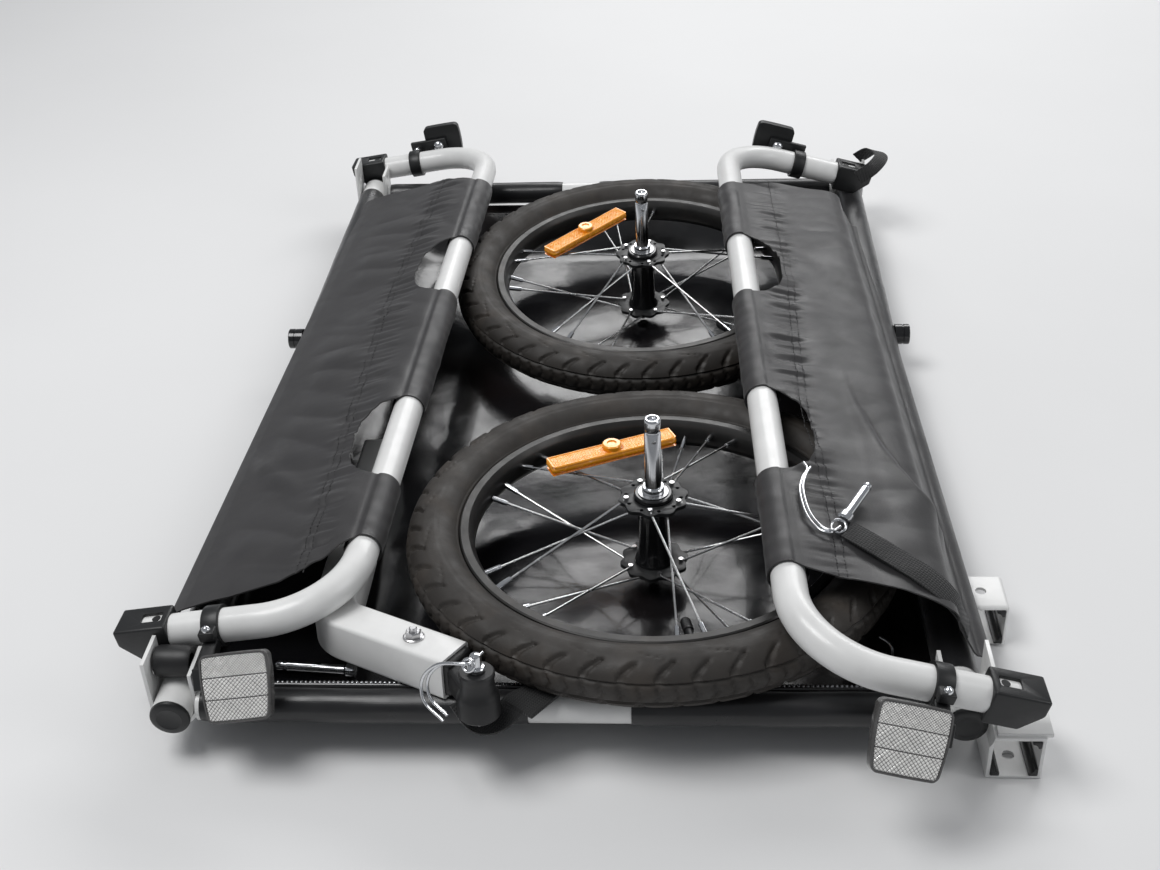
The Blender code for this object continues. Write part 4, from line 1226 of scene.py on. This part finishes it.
def spokes(end, place, turn):
    spin = place @ rotation(turn, "Z")
    wires, nipples, heads = [], [], []
    for top in (True, False):
        for index in range(SPOKES_A_SIDE):
            start, finish = spoke_ends(index, top)
            run = (finish - start).normalized()
            wires.append(rod(0.0010, start, finish, 12))
            nipples.append(rod(0.0021, finish - run * 0.0130, finish, 12, 0.0024))
            heads.append(rod(0.0019, start - Vector((0, 0, 0.0026)), start + Vector((0, 0, 0.0026)), 12))
    piece(placed(joined(*wires), spin), f"{end}_spoke_wires", SPOKE, f"{end}_wheel", f"{end}_wheel_spokes")
    piece(placed(joined(*nipples), spin), f"{end}_spoke_nipples", CHROME, f"{end}_wheel")
    piece(placed(joined(*heads), spin), f"{end}_spoke_heads", SPOKE, f"{end}_wheel")
    for label, z in (("upper", FLANGE_Z), ("lower", -FLANGE_Z)):
        edge = []
        for k in range(240):
            a = 2 * math.pi * k / 240
            r = FLANGE_R + 0.0014 * math.cos(a * SPOKES_A_SIDE)
            edge.append((r * math.cos(a), r * math.sin(a)))
        disc = outline(edge, 0.0016, Matrix.Translation((0, 0, z)))
        disc = boolean(disc, rod(HUB_R + 0.0004, (0, 0, z - 0.01), (0, 0, z + 0.01), 64))
        for k in range(SPOKES_A_SIDE):
            a = 2 * math.pi * (k + 0.5) / SPOKES_A_SIDE
            x, y = (FLANGE_R - 0.0045) * math.cos(a), (FLANGE_R - 0.0045) * math.sin(a)
            if label == "upper":
                disc = boolean(disc, rod(0.0016, (x, y, z - 0.01), (x, y, z + 0.01), 12))
        piece(placed(bevel(disc, 0.0004, 2, 60), spin), f"{end}_hub_flange_{label}", PLASTIC, f"{end}_wheel")


def hub(end, place):
    bore = AXLE_R + 0.0004
    profile = [
        (0.0125, HUB_END), (HUB_R - 0.0010, HUB_END), (HUB_R, HUB_END - 0.0010), (HUB_R, FLANGE_Z - 0.004),
        (HUB_R - 0.0024, FLANGE_Z - 0.0080), (HUB_R - 0.0030, 0.0), (HUB_R - 0.0024, -FLANGE_Z + 0.0080),
        (HUB_R, -FLANGE_Z + 0.004), (HUB_R, -HUB_END + 0.0010),
        (HUB_R - 0.0010, -HUB_END), (0.0125, -HUB_END),
        (bore, -HUB_END + 0.002), (bore, HUB_END - 0.002),
    ]
    piece(turned(profile, 96, place), f"{end}_hub_barrel", HUB, f"{end}_wheel", f"{end}_wheel_hub")
    ring = [
        (0.0084, HUB_END - 0.0006), (0.0118, HUB_END + 0.0002), (0.0118, HUB_END + 0.0007),
        (0.0084, HUB_END + 0.0009)
    ]
    piece(turned(ring, 64, place), f"{end}_bearing_race", STEEL, f"{end}_wheel")


def axle(end, place):
    tip, bore, well, low = AXLE_TIP, 0.0030, 0.0052, -HUB_END - 0.0060
    profile = [
        (bore, tip - 0.004), (0.0040, tip - 0.0004), (0.0042, tip), (0.0052, tip), (0.0060, tip - 0.0008),
        (AXLE_R, tip - 0.0020), (AXLE_R, tip - 0.0086), (0.0057, tip - 0.0094), (0.0054, tip - 0.0106),
        (0.0057, tip - 0.0120), (AXLE_R, tip - 0.0130), (AXLE_R, -HUB_END - 0.0020),
        (0.0095, -HUB_END - 0.0022),
        (0.0095, low), (well, low), (well, low + 0.0060), (bore, low + 0.0060),
    ]
    piece(turned(profile, 72, place), f"{end}_axle_chrome", CHROME, "base", f"{end}_wheel_axle")
    profile = [
        (0.0062, HUB_END + 0.0012), (0.0088, HUB_END + 0.0012), (0.0088, HUB_END + 0.0052),
        (0.0080, HUB_END + 0.0060), (0.0064, HUB_END + 0.0060)
    ]
    piece(turned(profile, 64, place), f"{end}_axle_collar", CHROME, "base")
    balls = []
    for k in range(3):
        a = math.radians(120 * k + 40)
        at = Matrix.Translation((0.0047 * math.cos(a), 0.0047 * math.sin(a), tip - 0.0180))
        balls.append(turned(arc((0, 0), 0.0023, -90, 90, 10), 20, at))
    piece(placed(joined(*balls), place), f"{end}_axle_lock_balls", STEEL, "base")
    face, back = -HUB_END - 0.0100, -HUB_END - 0.0050
    profile = [
        (0, 0.020), (0.0026, 0.020), (0.0026, back), (0.0048, back), (0.0048, face + 0.0008), (0.0042, face),
        (0.0020, face + 0.0004), (0, face + 0.0005)
    ]
    piece(
        turned(profile, 48, place), f"{end}_button_moulding", PLASTIC, f"{end}_button", f"{end}_axle_button",
    )


def wheel_reflector(end, place, angle):
    """An amber bar with rows of prisms on its two faces, and the clip that holds it to a spoke."""
    here = place @ rotation(angle, "Z") @ Matrix.Translation((0.083, 0, 0.0245))
    half_w, half_l, thick = 0.0088, 0.0556, 0.0044

    def face(up):
        def point(s, t):
            x, y = (2 * s - 1) * half_w, (2 * t - 1) * half_l
            cut = 0.0042
            dx, dy = max(0.0, abs(x) - half_w + cut), max(0.0, abs(y) - half_l + cut)
            far = math.hypot(dx, dy)
            if far > cut:
                x -= math.copysign(dx * (1 - cut / far), x)
                y -= math.copysign(dy * (1 - cut / far), y)
            inside = ramp(half_w - abs(x), 0.0014, 0.0024) * ramp(half_l - abs(y), 0.0020, 0.0030)
            high = min(abs(((x + y) / 0.0024) % 1 - 0.5), abs(((x - y) / 0.0024) % 1 - 0.5)) * 2
            edge = ramp(min(half_w - abs(x), half_l - abs(y)), -0.0002, 0.0011)
            return (x, y, up * (thick - 0.0010 + 0.0010 * edge - inside * 0.0009 + inside * 0.0007 * high))

        return grid(60, 330, point)

    top, under = face(1), face(-1)
    under.data.flip_normals()
    frame_edge = bevel(block((2 * half_w, 2 * half_l, 2 * thick - 0.0022), (0, 0, 0)), 0.0040, 5)
    bar = joined(top, under, frame_edge)
    piece(
        placed(bar, here), f"{end}_wheel_reflector_lens", AMBER,
        f"{end}_wheel", f"{end}_wheel_reflector", sharp=5,
    )
    profile = [
        (0, 0.0040), (0.0080, 0.0040), (0.0080, 0.0078), (0.0070, 0.0088), (0.0040, 0.0090), (0.0036, 0.0080),
        (0, 0.0078)
    ]
    piece(turned(profile, 48, here), f"{end}_wheel_reflector_clip", AMBER, f"{end}_wheel")


def valve(end, place, angle):
    turn = place @ rotation(angle, "Z") @ Matrix.Translation((RIM_IN - 0.0008, 0, 0))
    turn = turn @ rotation(-90, "Y")
    profile = [
        (0, 0.0), (0.0046, 0.0), (0.0040, 0.0040), (0.0030, 0.0060), (0.0030, 0.0130), (0.0040, 0.0136),
    ]
    for k in range(5):
        z = 0.0150 + 0.0018 * k
        profile += [(0.0040, z), (0.0037, z + 0.0005), (0.0037, z + 0.0009), (0.0040, z + 0.0014)]
    profile += [(0.0036, 0.0250), (0.0028, 0.0262), (0, 0.0262)]
    piece(turned(profile, 40, turn), f"{end}_valve_stem", RUBBER, f"{end}_wheel", f"{end}_wheel_valve")


def wheels():
    for end, spec in WHEELS.items():
        place = wheel_place(spec)
        tyre(end, place)
        rim(end, place)
        spokes(end, place, spec["turn"])
        hub(end, place)
        axle(end, place)
        wheel_reflector(end, place, spec["reflector"])
        valve(end, place, spec["valve"])


# ------------------------------------------------------------------- tow bar


def tow_frame():
    """The stowed tow bar's own place, and the place of its front end, with X along the bar."""
    tow = Matrix.Translation(TOW_REST) @ rotation(TOW_PITCH, "X")
    end, before = Vector(TOW_ROUTE[-1]), Vector(TOW_ROUTE[-2])
    along = (end - before).normalized()
    turn = Matrix.Rotation(math.atan2(along.y, along.x), 4, "Z")
    return tow, tow @ Matrix.Translation((*end, 0)) @ turn


def tow_bar_tube(tow):
    """The square tube along the bar's bent route."""
    half = TOW_SIZE / 2
    tail, first, second, nose = (Vector(p) for p in TOW_ROUTE)
    bend = mathutils.geometry.intersect_line_line_2d(
        tail, first + (first - tail) * 9, nose, second + (second - nose) * 9
    )
    path = [tail]
    for k in range(11):
        t = k / 10
        path.append(first * (1 - t) ** 2 + 2 * bend * t * (1 - t) + second * t * t)
    path.append(nose)
    corner = 0.0030
    square = []
    for sx, sy, start in ((1, 1, 0), (-1, 1, 90), (-1, -1, 180), (1, -1, 270)):
        square += arc((sx * (half - corner), sy * (half - corner)), corner, start, start + 90, 5)

    def tube(s, t):
        spot = t * (len(path) - 1)
        i = min(int(spot), len(path) - 2)
        here_at = path[i].lerp(path[i + 1], spot - i)
        run = (path[min(i + 1, len(path) - 1)] - path[max(i - (spot - i < 0.5), 0)]).normalized()
        aside, up = square[int(round(s * len(square))) % len(square)]
        normal = Vector((-run.y, run.x))
        return (here_at.x + normal.x * aside, here_at.y + normal.y * aside, up)

    sheet = grid(len(square), (len(path) - 1) * 6, tube, cyclic=True)
    shape = bmesh.new()
    shape.from_mesh(sheet.data)
    bmesh.ops.recalc_face_normals(shape, faces=shape.faces)
    shape.to_mesh(sheet.data)
    shape.free()
    walls = modified(sheet, "SOLIDIFY", thickness=TOW_WALL, offset=-1.0)
    piece(placed(walls, tow), "tow_bar_paint", PAINT, "base", "tow_bar", sharp=40)


def connector_plug(here):
    """The rubber connector, its plug inside the bar and its round head drilled for the hitch pin."""
    inside = TOW_SIZE - 2 * TOW_WALL - 2 * GAP
    x, y = TOW_HEAD
    neck_turn = Matrix.Rotation(math.atan2(y, x), 4, "Z")
    plug = bevel(block((0.058, inside, inside), (-0.024, 0, 0)), 0.0025, 3)
    plug = boolean(
        plug, bevel(block((0.044, 0.020, 0.020), (x / 2, y / 2, 0), neck_turn), 0.0030, 3), "UNION",
    )
    head = [
        (0.0, -0.0120), (0.0138, -0.0120), (0.0150, -0.0106),
        (0.0150, 0.0040), (0.0140, 0.0062), (0.0124, 0.0090),
    ]
    head += [(0.0118, 0.0180), (0.0126, 0.0200), (0.0126, 0.0228), (0.0116, 0.0240), (0.0, 0.0240)]
    plug = boolean(plug, turned(head, 64, Matrix.Translation((x, y, 0))), "UNION")
    plug = boolean(plug, rod(0.0044, (x, y, -0.03), (x, y, 0.05), 40))
    piece(placed(plug, here), "connector_moulding", RUBBER, "base", "flex_connector")


def connector_bolt(here):
    """The bolt that holds the connector in the bar: its hexagon, washer and thread."""
    half = TOW_SIZE / 2
    at_bolt = Matrix.Translation((-0.036, 0, 0))
    hexagon = turned(
        [
            (0, half + 0.0016), (0.0062, half + 0.0016), (0.0062, half + 0.0048),
            (0.0052, half + 0.0056), (0, half + 0.0056),
        ],
        6, at_bolt,
    )
    washer = turned(
        [
            (0, half + 0.0002), (0.0078, half + 0.0002), (0.0078, half + 0.0010),
            (0.0068, half + 0.0016), (0, half + 0.0016),
        ],
        48, at_bolt,
    )
    thread = turned(
        [
            (0, half + 0.005), (0.0030, half + 0.005), (0.0030, half + 0.0078),
            (0.0022, half + 0.0086), (0, half + 0.0086),
        ],
        32, at_bolt,
    )
    bolt = placed(joined(hexagon, washer, thread), here)
    piece(bolt, "connector_bolt_zinc", STEEL, "base", "connector_bolt", sharp=30)


def hitch_pin_and_keeper(here):
    """The hitch pin in the connector's head, and the wire keeper through the pin."""
    x, y = TOW_HEAD
    profile = [
        (0, -0.0115), (0.0030, -0.0115), (0.0038, -0.0100),
        (0.0038, 0.0243), (0.0058, 0.0243), (0.0062, 0.0250),
    ]
    profile += [
        (0.0062, 0.0272), (0.0056, 0.0280), (0.0040, 0.0284),
        (0.0040, 0.0360), (0.0034, 0.0374), (0.0020, 0.0380),
        (0, 0.0380)
    ]
    pin = turned(profile, 48, Matrix.Translation((x, y, 0)))
    pin = boolean(pin, rod(0.0016, (x, y - 0.02, 0.0340), (x, y + 0.02, 0.0340), 20))
    piece(placed(pin, here), "hitch_pin_chrome", CHROME, "hitch_pin_body", "hitch_pin")
    bow = [(0, 0.0085, 0.0340), (0, -0.0060, 0.0340), (-0.004, -0.0100, 0.0345), (-0.0220, -0.0140, 0.0300)]
    bow += [(-0.0330, -0.0180, 0.0170), (-0.0300, -0.0220, 0.0020), (-0.0120, -0.0250, -0.0060)]
    outer = [(x + i, y + j, k) for i, j, k in bow]
    inner = [(x + i * 0.90, y + j * 0.86, k * 0.92 + 0.0022) for i, j, k in bow[2:]]
    ring = arc3((x + 0.0005, y - 0.0088, 0.0342), 0.0044, 1.1)
    wire = joined(
        *(pipe(smooth_path(points, 0.0012), 0.0012, 4) for points in (outer, inner)), pipe(ring, 0.0011, 4),
    )
    piece(placed(wire, here), "hitch_keeper_wire", CHROME, "hitch_keeper_body", "hitch_keeper")


def tow_bar():
    tow, here = tow_frame()
    tow_bar_tube(tow)
    connector_plug(here)
    connector_bolt(here)
    hitch_pin_and_keeper(here)
    nut = turned(
        [(0, -0.0185), (0.0058, -0.0185), (0.0064, -0.0175), (0.0064, -0.0130), (0, -0.0130)], 6,
        Matrix.Translation((*TOW_HEAD, 0))
    )
    piece(placed(nut, here), "connector_nut", STEEL, "base", sharp=30)


def tow_strap():
    """The safety strap: webbing from the connector, ending in a square sewn flap on the crossbar."""
    run = [
        (-0.0700, -0.4420, 0.0560), (-0.0560, -0.4560, 0.0470), (-0.0430, -0.4560, 0.0490),
        (-0.0330, -0.4480, 0.0560)
    ]
    run += [(-0.0240, -0.4400, 0.0560), (-0.0150, -0.4380, 0.0545)]
    piece(ribbon(run, 0.0210, 0.0017), "tow_strap_webbing", WEBBING, "base")
    flap = bevel(block((0.0260, 0.0300, 0.0034), (-0.0200, -0.4420, 0.0572), rotation(-38, "Z")), 0.0010, 2)
    piece(flap, "tow_strap_flap", WEBBING, "base")


def floor_wires():
    """A second wire keeper lying on the floor at the front right, half under the tyre."""
    centre = (0.2160, -0.3650, TUBE_Z - 0.0060)
    bow = arc3(centre, 0.0240, 0.15, 200)
    second = [p + Vector((0.0006, 0.0026, 0.0014)) for p in bow]
    wires = joined(pipe(bow, 0.0011, 4), pipe(second, 0.0011, 4))
    turn = Matrix.Translation(centre) @ rotation(205, "Z") @ Matrix.Translation(-Vector(centre))
    piece(placed(wires, turn), "floor_keeper_wire", CHROME, "base")


def loose_pin():
    z = TUBE_Z - 0.0100
    start, end = Vector((-0.160, -0.3850, z)), Vector((-0.220, -0.3800, z))
    reach = (end - start).length
    profile = [
        (0, -0.001), (0.0048, -0.001), (0.0055, 0.0), (0.0055, 0.0052), (0.0046, 0.0062), (0.0039, 0.0070),
    ]
    profile += [
        (0.0039, reach - 0.0090), (0.0030, reach - 0.0084), (0.0030, reach - 0.0066), (0.0039, reach - 0.0060),
    ]
    profile += [(0.0039, reach - 0.0020), (0.0028, reach), (0, reach)]
    turn = Matrix.Translation(start) @ pointing(end - start)
    piece(turned(profile, 48, turn), "floor_pin_chrome", CHROME, "base", "floor_lock_pin")


# ------------------------------------------------------------ camera and light


def camera():
    """The viewing angle: 33.5 degrees down, a little to the left and rolled, from 1.2 m in front."""
    pitch, roll, yaw = 0.584896796, -0.0465952398, -0.0781667169
    down = Matrix(((1, 0, 0), (0, 0, -1), (0, 1, 0)))
    turn = Matrix.Rotation(roll, 3, "Z") @ Matrix.Rotation(
        pitch, 3, "X",
    ) @ down @ Matrix.Rotation(yaw, 3, "Z")
    eye = Vector((0.0827010060, -1.21737304, 0.753201171 + TUBE_Z))
    data = bpy.data.cameras.new("camera")
    data.sensor_width = 36.0
    data.lens = 36.0 * 1510.31321 / 1160.0
    data.clip_start, data.clip_end = 0.02, 40.0
    made = bpy.data.objects.new("camera", data)
    bpy.context.scene.collection.objects.link(made)
    across, ahead = Vector(turn[0]), Vector(turn[2])
    up = -Vector(turn[1])
    made.matrix_world = Matrix(
        (
            (across.x, up.x, -ahead.x, eye.x + HERE.translation.x),
            (across.y, up.y, -ahead.y, eye.y + HERE.translation.y),
            (across.z, up.z, -ahead.z, eye.z),
            (0, 0, 0, 1),
        )
    )
    bpy.context.scene.camera = made


def area_light(name, place, aim, size, power):
    data = bpy.data.lights.new(name, "AREA")
    data.shape = "RECTANGLE"
    data.size, data.size_y = size
    data.energy = power
    made = bpy.data.objects.new(name, data)
    bpy.context.scene.collection.objects.link(made)
    made.location = place
    made.rotation_euler = (Vector(aim) - Vector(place)).to_track_quat("-Z", "Y").to_euler()


def studio():
    def floor(shape):
        bmesh.ops.create_grid(shape, x_segments=1, y_segments=1, size=30.0)

    ground = from_bmesh(floor)
    ground.name = "studio_floor"
    ground.location.z = -0.0005
    bpy.context.scene.collection.objects.link(ground)
    ground.data.materials.append(
        surface(
            "studio_floor", (0.74, 0.74, 0.74), 0.7, tint=0.02, tint_scale=1.5, grain=(200.0, 0.0001, 0.05),
        )
    )
    world = bpy.data.worlds.new("studio")
    world.use_nodes = True
    sky = world.node_tree.nodes["Background"]
    sky.inputs["Color"].default_value = (0.92, 0.95, 1.0, 1.0)
    sky.inputs["Strength"].default_value = 0.26
    bpy.context.scene.world = world
    area_light("key", (-0.9, -0.5, 2.3), (0.0, 0.0, 0.05), (1.3, 1.0), 36.0)
    area_light("back", (0.5, 2.0, 1.5), (0.0, 0.1, 0.05), (2.2, 0.9), 30.0)
    area_light("side", (2.0, -0.6, 1.3), (0.1, 0.0, 0.05), (0.9, 1.4), 9.0)
    view = bpy.context.scene.view_settings
    view.view_transform = "Standard"
    view.exposure = 0.0


camera()
studio()
base_tubes()
brackets()
wheel_receivers()
tow_receivers()
floor_panel()
side_frames()
strap_and_pin()
corner_webbing()
wheels()
tow_bar()
tow_strap()
loose_pin()
floor_wires()
